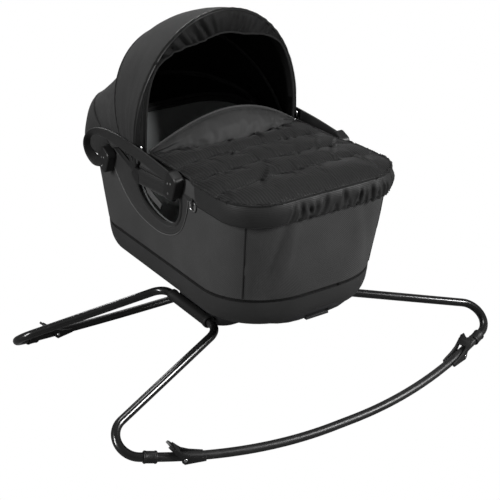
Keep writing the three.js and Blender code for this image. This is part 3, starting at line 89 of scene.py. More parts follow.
scene = bpy.context.scene
scene.view_settings.view_transform = "Standard"
camera_data = bpy.data.cameras.new("camera")
camera_data.lens = CAMERA_LENS
camera_data.sensor_width = CAMERA_SENSOR
camera = bpy.data.objects.new("camera", camera_data)
look = (CAMERA_AIM - CAMERA_AT).to_track_quat("-Z", "Y").to_matrix().to_4x4()
camera.matrix_world = Matrix.Translation(CAMERA_AT) @ look @ Matrix.Rotation(CAMERA_ROLL, 4, "Z")
scene.collection.objects.link(camera)
scene.camera = camera

for lamp_name, (lamp_at, lamp_size, lamp_power) in LAMPS.items():
    lamp_data = bpy.data.lights.new(lamp_name, "AREA")
    lamp_data.shape = "RECTANGLE"
    lamp_data.size, lamp_data.size_y = lamp_size
    lamp_data.energy = lamp_power
    lamp = bpy.data.objects.new(lamp_name, lamp_data)
    lamp_turn = (CAMERA_AIM - Vector(lamp_at)).to_track_quat("-Z", "Y").to_matrix().to_4x4()
    lamp.matrix_world = Matrix.Translation(lamp_at) @ lamp_turn
    scene.collection.objects.link(lamp)


def seen_bare(nodes):
    """One where the camera looks straight at the surface, else nought."""
    return nodes.new("ShaderNodeLightPath").outputs["Is Camera Ray"]


world = bpy.data.worlds.new("studio")
scene.world = world
world.use_nodes = True
world_nodes, world_links = world.node_tree.nodes, world.node_tree.links
surround = world_nodes["Background"]
surround.inputs["Color"].default_value = (1.0, 1.0, 1.0, 1.0)
level = world_nodes.new("ShaderNodeMapRange")
level.inputs["To Min"].default_value = SURROUND_LIGHT
level.inputs["To Max"].default_value = 1.0
world_links.new(seen_bare(world_nodes), level.inputs["Value"])
world_links.new(level.outputs["Result"], surround.inputs["Strength"])

floor_material = bpy.data.materials.new("studio_floor")
floor_material.use_nodes = True
floor_nodes, floor_links = floor_material.node_tree.nodes, floor_material.node_tree.links
floor_shader = floor_nodes["Principled BSDF"]
floor_shader.inputs["Base Color"].default_value = (FLOOR_GREY, FLOOR_GREY, FLOOR_GREY, 1.0)
floor_shader.inputs["Roughness"].default_value = 1.0
floor_shader.inputs["Specular IOR Level"].default_value = 0.0
glow = floor_nodes.new("ShaderNodeEmission")
floor_mix = floor_nodes.new("ShaderNodeMixShader")
floor_links.new(seen_bare(floor_nodes), floor_mix.inputs["Fac"])
floor_links.new(floor_shader.outputs["BSDF"], floor_mix.inputs[1])
floor_links.new(glow.outputs["Emission"], floor_mix.inputs[2])
floor_links.new(floor_mix.outputs["Shader"], floor_nodes["Material Output"].inputs["Surface"])
floor_mesh = bpy.data.meshes.new("floor")
floor_mesh.from_pydata(
    [(x * FLOOR_HALF, y * FLOOR_HALF, 0.0) for x, y in ((-1, -1), (1, -1), (1, 1), (-1, 1))],
    [], [(0, 1, 2, 3)])
floor_mesh.materials.append(floor_material)
floor = bpy.data.objects.new("floor", floor_mesh)
scene.collection.objects.link(floor)

# Leg tubes
# Two long steel tubes, each bent twice at the hub and once at either end, powder coated in
# gloss black. Each plugs into a rail at both ends and is clamped in the hub's sleeve.
TUBE_R = 0.010
TUBE_SIDES = 28
RAIL_HALF = 0.450
RAIL_Y = 0.313
RAIL_BOW = 0.066
RAIL_RISE = 0.0455
RAIL_STEPS = 72
RAIL_FLAT_SHARE = 1 / 17
LEG_REACH = 0.132
CORNER_BEND = 0.048
HUB_BEND = 0.044
HUB_TUBE_X = 0.167
HUB_TUBE_Y = 0.129
HUB_TUBE_Z = 0.188
BEND_STEP = 0.10
HANDS = ((-1, "left"), (1, "right"))
leg_low, leg_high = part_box("leg_tube_left")
STAND_Y = (leg_low[1] + leg_high[1]) / 2
FLOOR_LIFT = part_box("rocker_rail_front")[0][2]


def new_object(name, mesh):
    """Puts a mesh into the scene as an object at the origin."""
    piece = bpy.data.objects.new(name, mesh)
    scene.collection.objects.link(piece)
    return piece


def loft(name, rings, around=False, along=False, capped=False):
    """Skins rings of equal count; the UV map holds girth and run in metres."""
    count = len(rings[0])
    middle = rings[len(rings) // 2]
    girth = [0.0]
    for k in range(count):
        girth.append(girth[-1] + (middle[(k + 1) % count] - middle[k]).length)
    probe = count // 2
    run = [0.0]
    for k in range(len(rings)):
        run.append(run[-1] + (rings[(k + 1) % len(rings)][probe] - rings[k][probe]).length)
    faces, corners = [], []
    for r in range(len(rings) if along else len(rings) - 1):
        for c in range(count if around else count - 1):
            below, above = r * count, ((r + 1) % len(rings)) * count
            side = (c + 1) % count
            faces.append([below + c, below + side, above + side, above + c])
            places = ((c, r), (c + 1, r), (c + 1, r + 1), (c, r + 1))
            corners.append([(girth[i], run[j]) for i, j in places])
    if capped:
        for ring, order in ((0, -1), (len(rings) - 1, 1)):
            cap = [ring * count + k for k in range(count)][::order]
            faces.append(cap)
            corners.append([(girth[k - ring * count], run[ring]) for k in cap])
    mesh = bpy.data.meshes.new(name)
    mesh.from_pydata([tuple(p) for ring in rings for p in ring], [], faces)
    layer = mesh.uv_layers.new(name="cloth")
    layer.data.foreach_set("uv", [v for face in corners for pair in face for v in pair])
    mesh.shade_smooth()
    return new_object(name, mesh)


def outward(piece):
    """Points the faces of a closed piece outwards."""
    work = bmesh.new()
    work.from_mesh(piece.data)
    bmesh.ops.recalc_face_normals(work, faces=work.faces)
    work.to_mesh(piece.data)
    work.free()
    return piece


def crisp(piece, degrees=38.0):
    """Keeps the edges sharper than an angle crisp and shades the rest smooth."""
    piece.data.shade_smooth()
    piece.data.set_sharp_from_angle(angle=math.radians(degrees))
    return piece


def settle(piece):
    """Puts what the modifiers make into the piece's own mesh."""
    made = bpy.data.meshes.new_from_object(
        piece.evaluated_get(bpy.context.evaluated_depsgraph_get()))
    piece.modifiers.clear()
    piece.data = made
    return piece


def tube_along(name, path, radius, sides=TUBE_SIDES, closed=False):
    """A round bar along points, with flat ends or closed on itself."""
    rings = []
    normal = None
    for k, point in enumerate(path):
        if closed:
            before, after = path[k - 1], path[(k + 1) % len(path)]
        else:
            before, after = path[max(k - 1, 0)], path[min(k + 1, len(path) - 1)]
        tangent = (after - before).normalized()
        if normal is None:
            normal = tangent.orthogonal().normalized()
        normal = (normal - tangent * normal.dot(tangent)).normalized()
        side = tangent.cross(normal)
        rings.append([point + normal * math.cos(a) * radius + side * math.sin(a) * radius
                      for a in (math.tau * j / sides for j in range(sides))])
    return outward(loft(name, rings, around=True, along=closed, capped=not closed))


def rail_point(share, end):
    """The rail's middle line: level in the middle, bowed out and rising to both ends."""
    run = max(abs(share) - RAIL_FLAT_SHARE, 0.0) / (1.0 - RAIL_FLAT_SHARE)
    y = end * (RAIL_Y + RAIL_BOW * (1.0 - run * run))
    return Vector((share * RAIL_HALF, STAND_Y + y, FLOOR_LIFT + TUBE_R + RAIL_RISE * run * run))


def bent_route(corners, bends):
    """Rounds each inner corner of a route with its own bend radius."""
    route = [corners[0]]
    for before, corner, after, bend in zip(corners, corners[1:], corners[2:], bends):
        into, out = (corner - before).normalized(), (after - corner).normalized()
        turn = into.angle(out)
        start = corner - into * bend * math.tan(turn / 2)
        side = (out - into * math.cos(turn)).normalized()
        steps = math.ceil(turn / BEND_STEP)
        for j in range(steps + 1):
            angle = turn * j / steps
            route.append(start + into * bend * math.sin(angle) + side * bend * (1 - math.cos(angle)))
    return route + [corners[-1]]


def leg_route(side):
    """One leg's middle line: from the front rail up to the hub, along it and down to the rear."""
    end = rail_point(1.0, -1)
    along = (end - rail_point(0.99, -1)).normalized()
    corner = end + along * LEG_REACH / along.x
    hub_at = Vector((HUB_TUBE_X, STAND_Y - HUB_TUBE_Y, FLOOR_LIFT + HUB_TUBE_Z))
    half = [end, corner, hub_at]
    other = [Vector((p.x, 2 * STAND_Y - p.y, p.z)) for p in reversed(half)]
    corners = [Vector((p.x * side, p.y, p.z)) for p in half + other]
    return bent_route(corners, [CORNER_BEND, HUB_BEND, HUB_BEND, CORNER_BEND])


def tone(value, tint=(1.0, 1.0, 1.0)):
    """A grey read off a colour chart, from 0 to 255, as the shader's linear colour."""
    share = value / 255.0
    linear = share / 12.92 if share < 0.04045 else ((share + 0.055) / 1.055) ** 2.4
    return tuple(linear * t for t in tint) + (1.0,)


def node_group(name, inputs, outputs):
    """An empty shader group with named sockets, what comes into it and what it puts out."""
    tree = bpy.data.node_groups.new(name, "ShaderNodeTree")
    for socket, kind, value in inputs:
        made = tree.interface.new_socket(socket, in_out="INPUT", socket_type=kind)
        if value is not None:
            made.default_value = value
    for socket, kind in outputs:
        tree.interface.new_socket(socket, in_out="OUTPUT", socket_type=kind)
    return tree, tree.nodes.new("NodeGroupInput").outputs, tree.nodes.new("NodeGroupOutput").inputs


def feed(tree, socket, value):
    """Gives an input a plain value, or links it to the output that makes the value."""
    if isinstance(value, bpy.types.NodeSocket):
        tree.links.new(value, socket)
    else:
        socket.default_value = value


def placed(tree, kind, inputs=None, **settings):
    """One node of a tree, with its settings and its inputs."""
    node = tree.nodes.new(kind)
    for key, value in settings.items():
        setattr(node, key, value)
    for key, value in (inputs or {}).items():
        feed(tree, node.inputs[key], value)
    return node


def maths(tree, operation, *values):
    """One Math node; each value is an output or a plain number."""
    return placed(tree, "ShaderNodeMath", dict(enumerate(values)), operation=operation).outputs[0]


def noise(tree, vector, scale, detail=3.0):
    """Noise about a half, read at a place."""
    reads = {"Vector": vector, "Scale": scale, "Detail": detail}
    return placed(tree, "ShaderNodeTexNoise", reads).outputs["Fac"]


def spread(tree, value, low, high, from_low=0.0, from_high=1.0):
    """Maps a value from one span to another; the ends may be outputs."""
    spans = {"Value": value, "To Min": low, "To Max": high, "From Min": from_low, "From Max": from_high}
    return placed(tree, "ShaderNodeMapRange", spans).outputs["Result"]


# Fine unevenness of any finish: a slow drift of tone and a fine speckle, both about one
mottle_group, entry, leave = node_group(
    "mottle",
    [("Vector", "NodeSocketVector", None), ("Slow Scale", "NodeSocketFloat", 6.0),
     ("Fine Scale", "NodeSocketFloat", 400.0), ("Amount", "NodeSocketFloat", 0.1)],
    [("Factor", "NodeSocketFloat"), ("Speckle", "NodeSocketFloat")])
slow = noise(mottle_group, entry["Vector"], entry["Slow Scale"], 4.0)
low_end = maths(mottle_group, "SUBTRACT", 1.0, entry["Amount"])
high_end = maths(mottle_group, "ADD", 1.0, entry["Amount"])
feed(mottle_group, leave["Factor"], spread(mottle_group, slow, low_end, high_end, 0.3, 0.7))
feed(mottle_group, leave["Speckle"], noise(mottle_group, entry["Vector"], entry["Fine Scale"], 2.0))

# Rubbed edges: lighter where a convex edge has been handled, broken up by noise
wear_group, entry, leave = node_group(
    "edge_wear",
    [("Vector", "NodeSocketVector", None), ("Amount", "NodeSocketFloat", 0.5)],
    [("Mask", "NodeSocketFloat")])
pointed = placed(wear_group, "ShaderNodeNewGeometry").outputs["Pointiness"]
convex = spread(wear_group, pointed, 0.0, 1.0, 0.52, 0.62)
patchy = spread(wear_group, noise(wear_group, entry["Vector"], 60.0, 5.0), 0.0, 1.0, 0.42, 0.62)
rubbed = maths(wear_group, "MULTIPLY", convex, patchy)
feed(wear_group, leave["Mask"], maths(wear_group, "MULTIPLY", rubbed, entry["Amount"]))


def start_material(name, colour, roughness, metallic=0.0, specular=0.5):
    """A material, its shader and its node tree, ready to be joined up."""
    material = bpy.data.materials.new(name)
    material.use_nodes = True
    shader = material.node_tree.nodes["Principled BSDF"]
    for key, value in (("Base Color", colour), ("Roughness", roughness), ("Metallic", metallic),
                       ("Specular IOR Level", specular)):
        shader.inputs[key].default_value = value
    return material, shader, material.node_tree


def own_place(tree):
    """The place on the piece itself, in metres."""
    return placed(tree, "ShaderNodeTexCoord").outputs["Object"]


def use_group(tree, group, vector, **values):
    """Places a shader group; an underscore in a name stands for a space."""
    inputs = {key.replace("_", " "): value for key, value in values.items()}
    return placed(tree, "ShaderNodeGroup", {"Vector": vector, **inputs}, node_tree=group).outputs


def tinted(tree, colour, factor, shader):
    """Feeds the base colour as one colour times a factor that changes over the surface."""
    node = placed(tree, "ShaderNodeVectorMath", {0: colour[:3], "Scale": factor}, operation="SCALE")
    tree.links.new(node.outputs["Vector"], shader.inputs["Base Color"])


def bump(tree, height, distance, shader):
    """Feeds the normal from a height, in metres at its full."""
    node = placed(tree, "ShaderNodeBump", {"Distance": distance, "Height": height})
    tree.links.new(node.outputs["Normal"], shader.inputs["Normal"])


def coated_steel(name, colour, roughness, coat, coat_roughness, orange_peel):
    """Powder coat on steel tube: a faint orange peel and dull handling marks."""
    material, shader, tree = start_material(name, colour, roughness)
    shader.inputs["Coat Weight"].default_value = coat
    shader.inputs["Coat Roughness"].default_value = coat_roughness
    place = own_place(tree)
    mottle = use_group(tree, mottle_group, place, Slow_Scale=14.0, Fine_Scale=900.0, Amount=0.2)
    tinted(tree, colour, mottle["Factor"], shader)
    scuffs = spread(tree, noise(tree, place, 35.0, 6.0), 0.0, 0.16, 0.56, 0.7)
    dulled = maths(tree, "ADD", scuffs, roughness)
    feed(tree, shader.inputs["Roughness"], dulled)
    bump(tree, mottle["Speckle"], orange_peel, shader)
    return material


def fit_out(piece, body, slot, material, *nodes):
    """Gives a finished piece its material, the body it rides on and the nodes it stands for."""
    piece.data.materials.clear()
    piece.data.materials.append(material)
    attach(piece, body)
    if nodes:
        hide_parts(*nodes)
    return piece


gloss_black = coated_steel("gloss_black_coat", tone(20), 0.26, 0.8, 0.1, 0.000002)
for side, hand in HANDS:
    leg = tube_along(f"leg_{hand}", leg_route(side), TUBE_R)
    fit_out(crisp(leg), "stand", "gloss_black_tube", gloss_black, f"leg_tube_{hand}")

# Rocker rails
# Two steel tubes bowed along the floor so that the stand can rock, coated in a satin black
# and plugged over the legs' ends.
satin_black = coated_steel("satin_black_coat", tone(38), 0.38, 0.2, 0.3, 0.000004)
for end, place in ((-1, "front"), (1, "rear")):
    shares = [2 * k / RAIL_STEPS - 1 for k in range(RAIL_STEPS + 1)]
    rail = tube_along(f"rail_{place}", [rail_point(share, end) for share in shares], TUBE_R)
    fit_out(crisp(rail), "stand", "satin_rail_tube", satin_black, f"rocker_rail_{place}")

# Collars, feet and their pins
# Moulded black nylon: a ribbed collar clamps each rail to its leg, and a flip-down foot with
# two cheeks and a thumb pedal turns on a steel pin through the rail.
COLLAR_EDGE = 0.0008
COLLAR_RIB_ANGLE = 28.0
FOOT_EDGE = 0.0009
PIN_EDGE = 0.0004
WORN_LIGHTER = 1.6
MERGE_GAP = 0.000002
FLAT_ANGLE = 0.012


def moulded_plastic(name, colour, roughness, grain, wear=0.35, coarse=700.0):
    """Moulded plastic with a spark-eroded grain, slight mottling and rubbed edges."""
    material, shader, tree = start_material(name, colour, roughness)
    place = own_place(tree)
    mottle = use_group(tree, mottle_group, place, Slow_Scale=9.0, Fine_Scale=coarse, Amount=0.14)
    worn = use_group(tree, wear_group, place, Amount=wear)["Mask"]
    lighter = maths(tree, "MULTIPLY_ADD", worn, WORN_LIGHTER, 1.0)
    tinted(tree, colour, maths(tree, "MULTIPLY", mottle["Factor"], lighter), shader)
    rough = spread(tree, mottle["Speckle"], roughness - 0.06, roughness + 0.1, 0.3, 0.7)
    feed(tree, shader.inputs["Roughness"], rough)
    bump(tree, mottle["Speckle"], grain, shader)
    return material


def plain_steel(name, colour, roughness, scratch=0.00002):
    """Plated steel wire or rivet: bright, with fine drawn scratches and dull patches."""
    material, shader, tree = start_material(name, colour, roughness, metallic=1.0)
    place = own_place(tree)
    mottle = use_group(tree, mottle_group, place, Slow_Scale=90.0, Fine_Scale=2500.0, Amount=0.12)
    tinted(tree, colour, mottle["Factor"], shader)
    rough = spread(tree, mottle["Speckle"], roughness - 0.05, roughness + 0.15, 0.3, 0.7)
    feed(tree, shader.inputs["Roughness"], rough)
    bump(tree, mottle["Speckle"], scratch, shader)
    return material


def refined(node, edge, segments=2, degrees=32.0):
    """A merged copy of a moulded node with its sharp edges rounded as the mould rounds them."""
    work = bmesh.new()
    work.from_mesh(frame["nodes"][node].data)
    bmesh.ops.remove_doubles(work, verts=work.verts, dist=MERGE_GAP)
    bmesh.ops.dissolve_limit(work, angle_limit=FLAT_ANGLE, verts=work.verts, edges=work.edges)
    limit = math.radians(degrees)
    sharp = [e for e in work.edges if len(e.link_faces) == 2 and e.calc_face_angle(0.0) > limit]
    bmesh.ops.bevel(work, geom=sharp, offset=edge, segments=segments, profile=0.5,
                    affect="EDGES", clamp_overlap=True)
    bmesh.ops.recalc_face_normals(work, faces=work.faces)
    mesh = bpy.data.meshes.new(f"{node}_moulding")
    work.to_mesh(mesh)
    work.free()
    return crisp(new_object(f"{node}_moulding", mesh), 40.0)


def body_of(node):
    """The body that a node of the CAD moves with."""
    return frame["nodes"][node]["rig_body"]


def moulded(node, edge, material, slot="black_plastic", **shaping):
    """Puts a refined copy of a node in the node's place."""
    return fit_out(refined(node, edge, **shaping), body_of(node), slot, material, node)


black_nylon = moulded_plastic("black_nylon", tone(31), 0.42, 0.00006)
bright_steel = plain_steel("bright_steel", tone(196), 0.22)
for place in ("front", "rear"):
    for hand in ("left", "right"):
        ends = f"{place}_{hand}"
        moulded(f"rail_collar_{ends}", COLLAR_EDGE, black_nylon, degrees=COLLAR_RIB_ANGLE)
        moulded(f"rocker_foot_{ends}", FOOT_EDGE, black_nylon)
        moulded(f"foot_pin_{ends}", PIN_EDGE, bright_steel, "bright_steel")

# Hub, sleeves and turntable
# A flat moulded housing holds both legs in their sleeves and carries the turntable on a
# greased ring, so that the bassinet can be turned to either side.
HUB_EDGE = 0.0014
SLEEVE_EDGE = 0.0008
hub_plastic = moulded_plastic("hub_plastic", tone(44, (1.0, 1.0, 1.08)), 0.46, 0.00009)
for hand in ("left", "right"):
    moulded(f"hub_sleeve_{hand}", SLEEVE_EDGE, black_nylon)
moulded("hub_body", HUB_EDGE, hub_plastic, "hub_plastic")
moulded("bearing_ring", SLEEVE_EDGE, black_nylon)
moulded("turntable", SLEEVE_EDGE, hub_plastic, "hub_plastic")

# Dock and its release paddle
# The bassinet's moulded foot, which drops over the turntable, and the spring paddle at its
# foot end that lets it go again.
moulded("dock_dome", HUB_EDGE, hub_plastic, "hub_plastic")
moulded("dock_paddle", SLEEVE_EDGE, hub_plastic, "hub_plastic")

# Base tray
# One moulded shell under the bassinet, with a soft turned-under edge and a fine matt grain;
# a rounded keel of the same plastic stands down from the dock below its foot end.
CORNER_STEPS = 16
LONG_STEPS = 64
SHORT_STEPS = 20
LIP_HALF_W = 0.2095
RIM_HALF_W = 0.206
LIP_FOOT_Y = STAND_Y - 0.294
RIM_FOOT_Y = STAND_Y - 0.3215
LIP_HEAD_Y = STAND_Y + 0.443
RIM_HEAD_Y = STAND_Y + 0.452
LIP_CORNER = 0.158
RIM_CORNER = 0.092
WALL = 0.006
TRAY_INSET = 0.034
TRAY_FLOOR = 0.005
RUN_GAP = 0.0003
RIM_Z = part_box("tub_wall")[1][2]
LIP_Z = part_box("tub_lip")[0][2]
TRAY_LOW, TRAY_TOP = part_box("base_tray")[0][2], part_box("base_tray")[1][2]
TRAY_SKIRT = 0.017
TRAY_LAP = 0.0004
KEEL_Z = 0.221
KEEL_HALF_W, KEEL_HALF_LONG = 0.130, 0.0345
KEEL_Y = STAND_Y - 0.2105
KEEL_SIDES = 48
tray_shares = [(0.0, 1.0), (0.03, 0.72), (0.13, 0.4), (0.36, 0.12), (0.66, 0.0), (0.92, 0.02), (1.06, 0.12),
               (1.1, 0.25)]
keel_shares = [(0.0, 1.0), (0.35, 0.98), (0.7, 0.9), (0.9, 0.76), (1.0, 0.5)]


def lerp(a, b, t):
    """The value a share of the way from one number to another."""
    return a + (b - a) * t


def rounded_ring(half_w, foot, head, corner, z):
    """A rounded outline seen from above, evenly stepped, that starts at the head's middle."""
    arcs = []
    spots = ((-1, foot + corner, 2), (1, foot + corner, 3), (1, head - corner, 0), (-1, head - corner, 1))
    for side, y, quarter in spots:
        turns = [(quarter + k / CORNER_STEPS) * math.pi / 2 for k in range(CORNER_STEPS + 1)]
        x = side * (half_w - corner)
        arcs.append([Vector((x + corner * math.cos(a), y + corner * math.sin(a), z)) for a in turns])
    ring = []
    for k, steps in enumerate((SHORT_STEPS, LONG_STEPS, SHORT_STEPS, LONG_STEPS)):
        after = arcs[(k + 1) % 4][0]
        ring += arcs[k] + [arcs[k][-1].lerp(after, j / steps) for j in range(1, steps)]
    start = 3 * (CORNER_STEPS + 1) + SHORT_STEPS + LONG_STEPS - 2 + SHORT_STEPS // 2
    return ring[start:] + ring[:start]


def outline(z, inset=0.0):
    """The tub's rounded outline at a height, pulled in by an inset."""
    t = (z - LIP_Z) / (RIM_Z - LIP_Z)
    corner = lerp(LIP_CORNER, RIM_CORNER, max(t, 0.0)) - inset
    return rounded_ring(lerp(LIP_HALF_W, RIM_HALF_W, t) - inset, lerp(LIP_FOOT_Y, RIM_FOOT_Y, t) + inset,
                        lerp(LIP_HEAD_Y, RIM_HEAD_Y, t) - inset, corner, z)


def smooth_run(points, steps, closed=False):
    """A smooth curve through points, with an even number of steps between each two."""
    made = []
    count = len(points)
    for k in range(count if closed else count - 1):
        if closed:
            a, b, c, d = (points[(k + j) % count] for j in (-1, 0, 1, 2))
        else:
            a, b, c, d = points[max(k - 1, 0)], points[k], points[k + 1], points[min(k + 2, count - 1)]
        for j in range(steps):
            t = j / steps
            made.append(0.5 * ((2 * b) + (c - a) * t + (2 * a - 5 * b + 4 * c - d) * t * t
                               + (3 * b - a - 3 * c + d) * t ** 3))
    return made if closed else made + [points[-1]]


tray_run = smooth_run([Vector((inset, rise)) for inset, rise in tray_shares], 6)
tray_rings = [outline(lerp(TRAY_LOW - TRAY_SKIRT, TRAY_TOP, rise), inset * TRAY_INSET)
              for inset, rise in tray_run]
tray_rings += [outline(TRAY_LOW + TRAY_LAP, (tray_run[-1].x + 0.1) * TRAY_INSET)]
tray_rings += [outline(lerp(TRAY_LOW + TRAY_FLOOR, TRAY_TOP, rise), inset * TRAY_INSET + WALL)
               for inset, rise in reversed(tray_run) if inset < 0.8]
tray = outward(loft("tray", list(reversed(tray_rings)), around=True, capped=True))
keel_rings = []
for drop, size in keel_shares:
    z = lerp(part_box("dock_dome")[0][2] - TRAY_LAP, KEEL_Z, drop)
    wide, long = KEEL_HALF_W * size, KEEL_HALF_LONG * size
    turns = [k / KEEL_SIDES * math.tau for k in range(KEEL_SIDES)]
    keel_rings.append([Vector((wide * math.cos(a), KEEL_Y + long * math.sin(a), z)) for a in turns])
keel = outward(loft("dock_keel", keel_rings, around=True, capped=True))
tray_plastic = moulded_plastic("tray_plastic", tone(52), 0.5, 0.00012, wear=0.2, coarse=1100.0)
fit_out(crisp(tray), "bassinet", "tray_plastic", tray_plastic, "base_tray")
fit_out(crisp(keel), body_of("dock_dome"), "tray_plastic", tray_plastic)

# Zip band between tray and cloth
# The cloth is zipped to the tray all round: a recessed band of tape with fine black teeth and
# its slider near the foot end.
ZIP_STEP = 0.0026
ZIP_TOOTH = 0.0009
ZIP_WIDE = 0.0042
LIP_RECESS = 0.0035
BAND_BULGE = 0.0006
BAND_LOW, BAND_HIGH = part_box("tub_lip")[0][2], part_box("tub_lip")[1][2]
band_rows = [0.0, 0.3, 0.5, 0.7, 1.0]
band_rings = [outline(lerp(BAND_LOW, BAND_HIGH, t), LIP_RECESS + BAND_BULGE * math.sin(t * math.pi))
              for t in band_rows]
band_rings += [outline(lerp(BAND_LOW, BAND_HIGH, t), LIP_RECESS + WALL) for t in reversed(band_rows)]
band = outward(loft("zip_band", band_rings, around=True, along=True))

# Twill: diagonal ridges of yarn with the single threads across them
twill_group, entry, leave = node_group(
    "twill",
    [("Vector", "NodeSocketVector", None), ("Pitch", "NodeSocketFloat", 0.0016)],
    [("Height", "NodeSocketFloat"), ("Thread", "NodeSocketFloat")])
axes = placed(twill_group, "ShaderNodeSeparateXYZ", {0: entry["Vector"]}).outputs
yarn_x = maths(twill_group, "DIVIDE", axes["X"], entry["Pitch"])
yarn_y = maths(twill_group, "DIVIDE", axes["Y"], entry["Pitch"])
along_ridge = maths(twill_group, "MULTIPLY", maths(twill_group, "ADD", yarn_x, yarn_y), math.tau)
ridge = maths(twill_group, "SINE", along_ridge)
across_ridge = maths(twill_group, "MULTIPLY", maths(twill_group, "SUBTRACT", yarn_x, yarn_y), math.tau * 2)
thread = maths(twill_group, "SINE", across_ridge)
woven = maths(twill_group, "ADD", maths(twill_group, "MULTIPLY", ridge, 0.34),
              maths(twill_group, "MULTIPLY", thread, 0.16))
feed(twill_group, leave["Height"], maths(twill_group, "ADD", woven, 0.5))
feed(twill_group, leave["Thread"], spread(twill_group, ridge, 0.0, 1.0, -1.0, 1.0))


FLUFF_SCALE = 1500.0


def cloth_place(tree):
    """The place on the cloth, in metres along its girth and its run."""
    return placed(tree, "ShaderNodeUVMap", uv_map="cloth").outputs["UV"]


def woven_cloth(name, colour, pitch, depth, roughness=0.82, sheen=0.06, amount=0.12, contrast=0.16,
                on_uv=True, slow=7.0, specular=0.3):
    """Woven cloth: twill in height, painted shade in its grooves and painted highlight on its ridges, uneven
    dye and a soft sheen on its nap.
    """
    material, shader, tree = start_material(name, colour, roughness, specular=specular)
    shader.inputs["Sheen Weight"].default_value = sheen
    shader.inputs["Sheen Roughness"].default_value = 0.45
    place = own_place(tree)
    weave_place = cloth_place(tree) if on_uv else place
    twill = use_group(tree, twill_group, weave_place, Pitch=pitch)
    mottle = use_group(tree, mottle_group, place, Slow_Scale=slow, Fine_Scale=FLUFF_SCALE, Amount=amount)
    # Painted shade and highlight: the cloth is darker in the twill's grooves and lighter on its ridges, by the
    # contrast given.
    ridge_shading = spread(tree, twill["Thread"], 1.0 - contrast, 1.0 + contrast)
    speckle = spread(tree, mottle["Speckle"], 0.9, 1.1, 0.35, 0.65)
    factor = maths(tree, "MULTIPLY", maths(tree, "MULTIPLY", mottle["Factor"], ridge_shading), speckle)
    tinted(tree, colour, factor, shader)
    feed(tree, shader.inputs["Roughness"], spread(tree, twill["Thread"], roughness + 0.08, roughness - 0.06))
    bump(tree, twill["Height"], depth, shader)
    return material


tape_black = woven_cloth("tape_black", tone(30), 0.0011, 0.00012, sheen=0.1)
fit_out(crisp(band, 50.0), "bassinet", "tub_fabric", tape_black, "tub_lip")


def geometry_tree(name, inputs):
    """An empty Geometry Nodes tree with named inputs after its geometry."""
    tree = bpy.data.node_groups.new(name, "GeometryNodeTree")
    tree.interface.new_socket("Geometry", in_out="INPUT", socket_type="NodeSocketGeometry")
    for socket, kind, value in inputs:
        made = tree.interface.new_socket(socket, in_out="INPUT", socket_type=kind)
        if value is not None:
            made.default_value = value
    tree.interface.new_socket("Geometry", in_out="OUTPUT", socket_type="NodeSocketGeometry")
    return tree, tree.nodes.new("NodeGroupInput").outputs, tree.nodes.new("NodeGroupOutput").inputs


def grown_by(name, tree, mesh, **values):
    """Runs a Geometry Nodes tree on a mesh and keeps the result as a plain mesh object."""
    piece = new_object(name, mesh)
    modifier = piece.modifiers.new(tree.name, "NODES")
    modifier.node_group = tree
    for item in tree.interface.items_tree:
        key = item.name.replace(" ", "_").lower()
        if item.in_out == "INPUT" and key in values:
            modifier[item.identifier] = values[key]
    return settle(piece)


def thread_mesh(name, path, closed=False):
    """A bare polyline for a Geometry Nodes tree to follow."""
    mesh = bpy.data.meshes.new(name)
    edges = [(k, k + 1) for k in range(len(path) - 1)]
    if closed:
        edges.append((len(path) - 1, 0))
    mesh.from_pydata([tuple(p) for p in path], edges, [])
    return mesh


def realised(tree, copies, entry, leave):
    """Ends a tree: makes its copies real and gives them their finish."""
    real = placed(tree, "GeometryNodeRealizeInstances", {"Geometry": copies.outputs["Instances"]})
    finish = placed(tree, "GeometryNodeSetMaterial",
                    {"Geometry": real.outputs["Geometry"], "Material": entry["Finish"]})
    feed(tree, leave["Geometry"], finish.outputs["Geometry"])


# Sets one small block or bead at every step along a line: zip teeth and stitches
row_tree, entry, leave = geometry_tree(
    "row_of_pieces",
    [("Step", "NodeSocketFloat", 0.0026), ("Long", "NodeSocketFloat", 0.0016),
     ("Wide", "NodeSocketFloat", 0.0009), ("High", "NodeSocketFloat", 0.0009),
     ("Round", "NodeSocketFloat", 1.0), ("Finish", "NodeSocketMaterial", None)])
to_curve = placed(row_tree, "GeometryNodeMeshToCurve", {"Mesh": entry["Geometry"]})
upright = placed(row_tree, "GeometryNodeSetCurveNormal", {"Curve": to_curve.outputs["Curve"]}, mode="Z_UP")
stations = placed(row_tree, "GeometryNodeCurveToPoints",
                  {"Curve": upright.outputs["Curve"], "Length": entry["Step"]}, mode="LENGTH")
bead = placed(row_tree, "GeometryNodeMeshUVSphere", {"Segments": 8, "Rings": 5, "Radius": 0.5})
block = placed(row_tree, "GeometryNodeMeshCube")
rounded = placed(row_tree, "FunctionNodeCompare", {0: entry["Round"], 1: 0.5}, operation="GREATER_THAN")
shape = placed(row_tree, "GeometryNodeSwitch",
               {"Switch": rounded.outputs[0], "False": block.outputs["Mesh"], "True": bead.outputs["Mesh"]},
               input_type="GEOMETRY")
size = placed(row_tree, "ShaderNodeCombineXYZ", {"X": entry["High"], "Y": entry["Wide"], "Z": entry["Long"]})
copies = placed(row_tree, "GeometryNodeInstanceOnPoints",
                {"Points": stations.outputs["Points"], "Instance": shape.outputs[0],
                 "Rotation": stations.outputs["Rotation"], "Scale": size.outputs[0]})
realised(row_tree, copies, entry, leave)


def zip_row(name, path, body, material, closed=False, step=ZIP_STEP):
    """A row of moulded teeth along a path."""
    teeth = grown_by(name, row_tree, thread_mesh(name, path, closed), step=step, long=step * 0.55,
                     wide=ZIP_WIDE, high=ZIP_TOOTH * 1.6, round=0.0, finish=material)
    return fit_out(crisp(teeth), body, "black_plastic", material)


STITCH_STEP = 0.0042
STITCH_THICK = 0.0008
FINE_STITCH = 0.0006


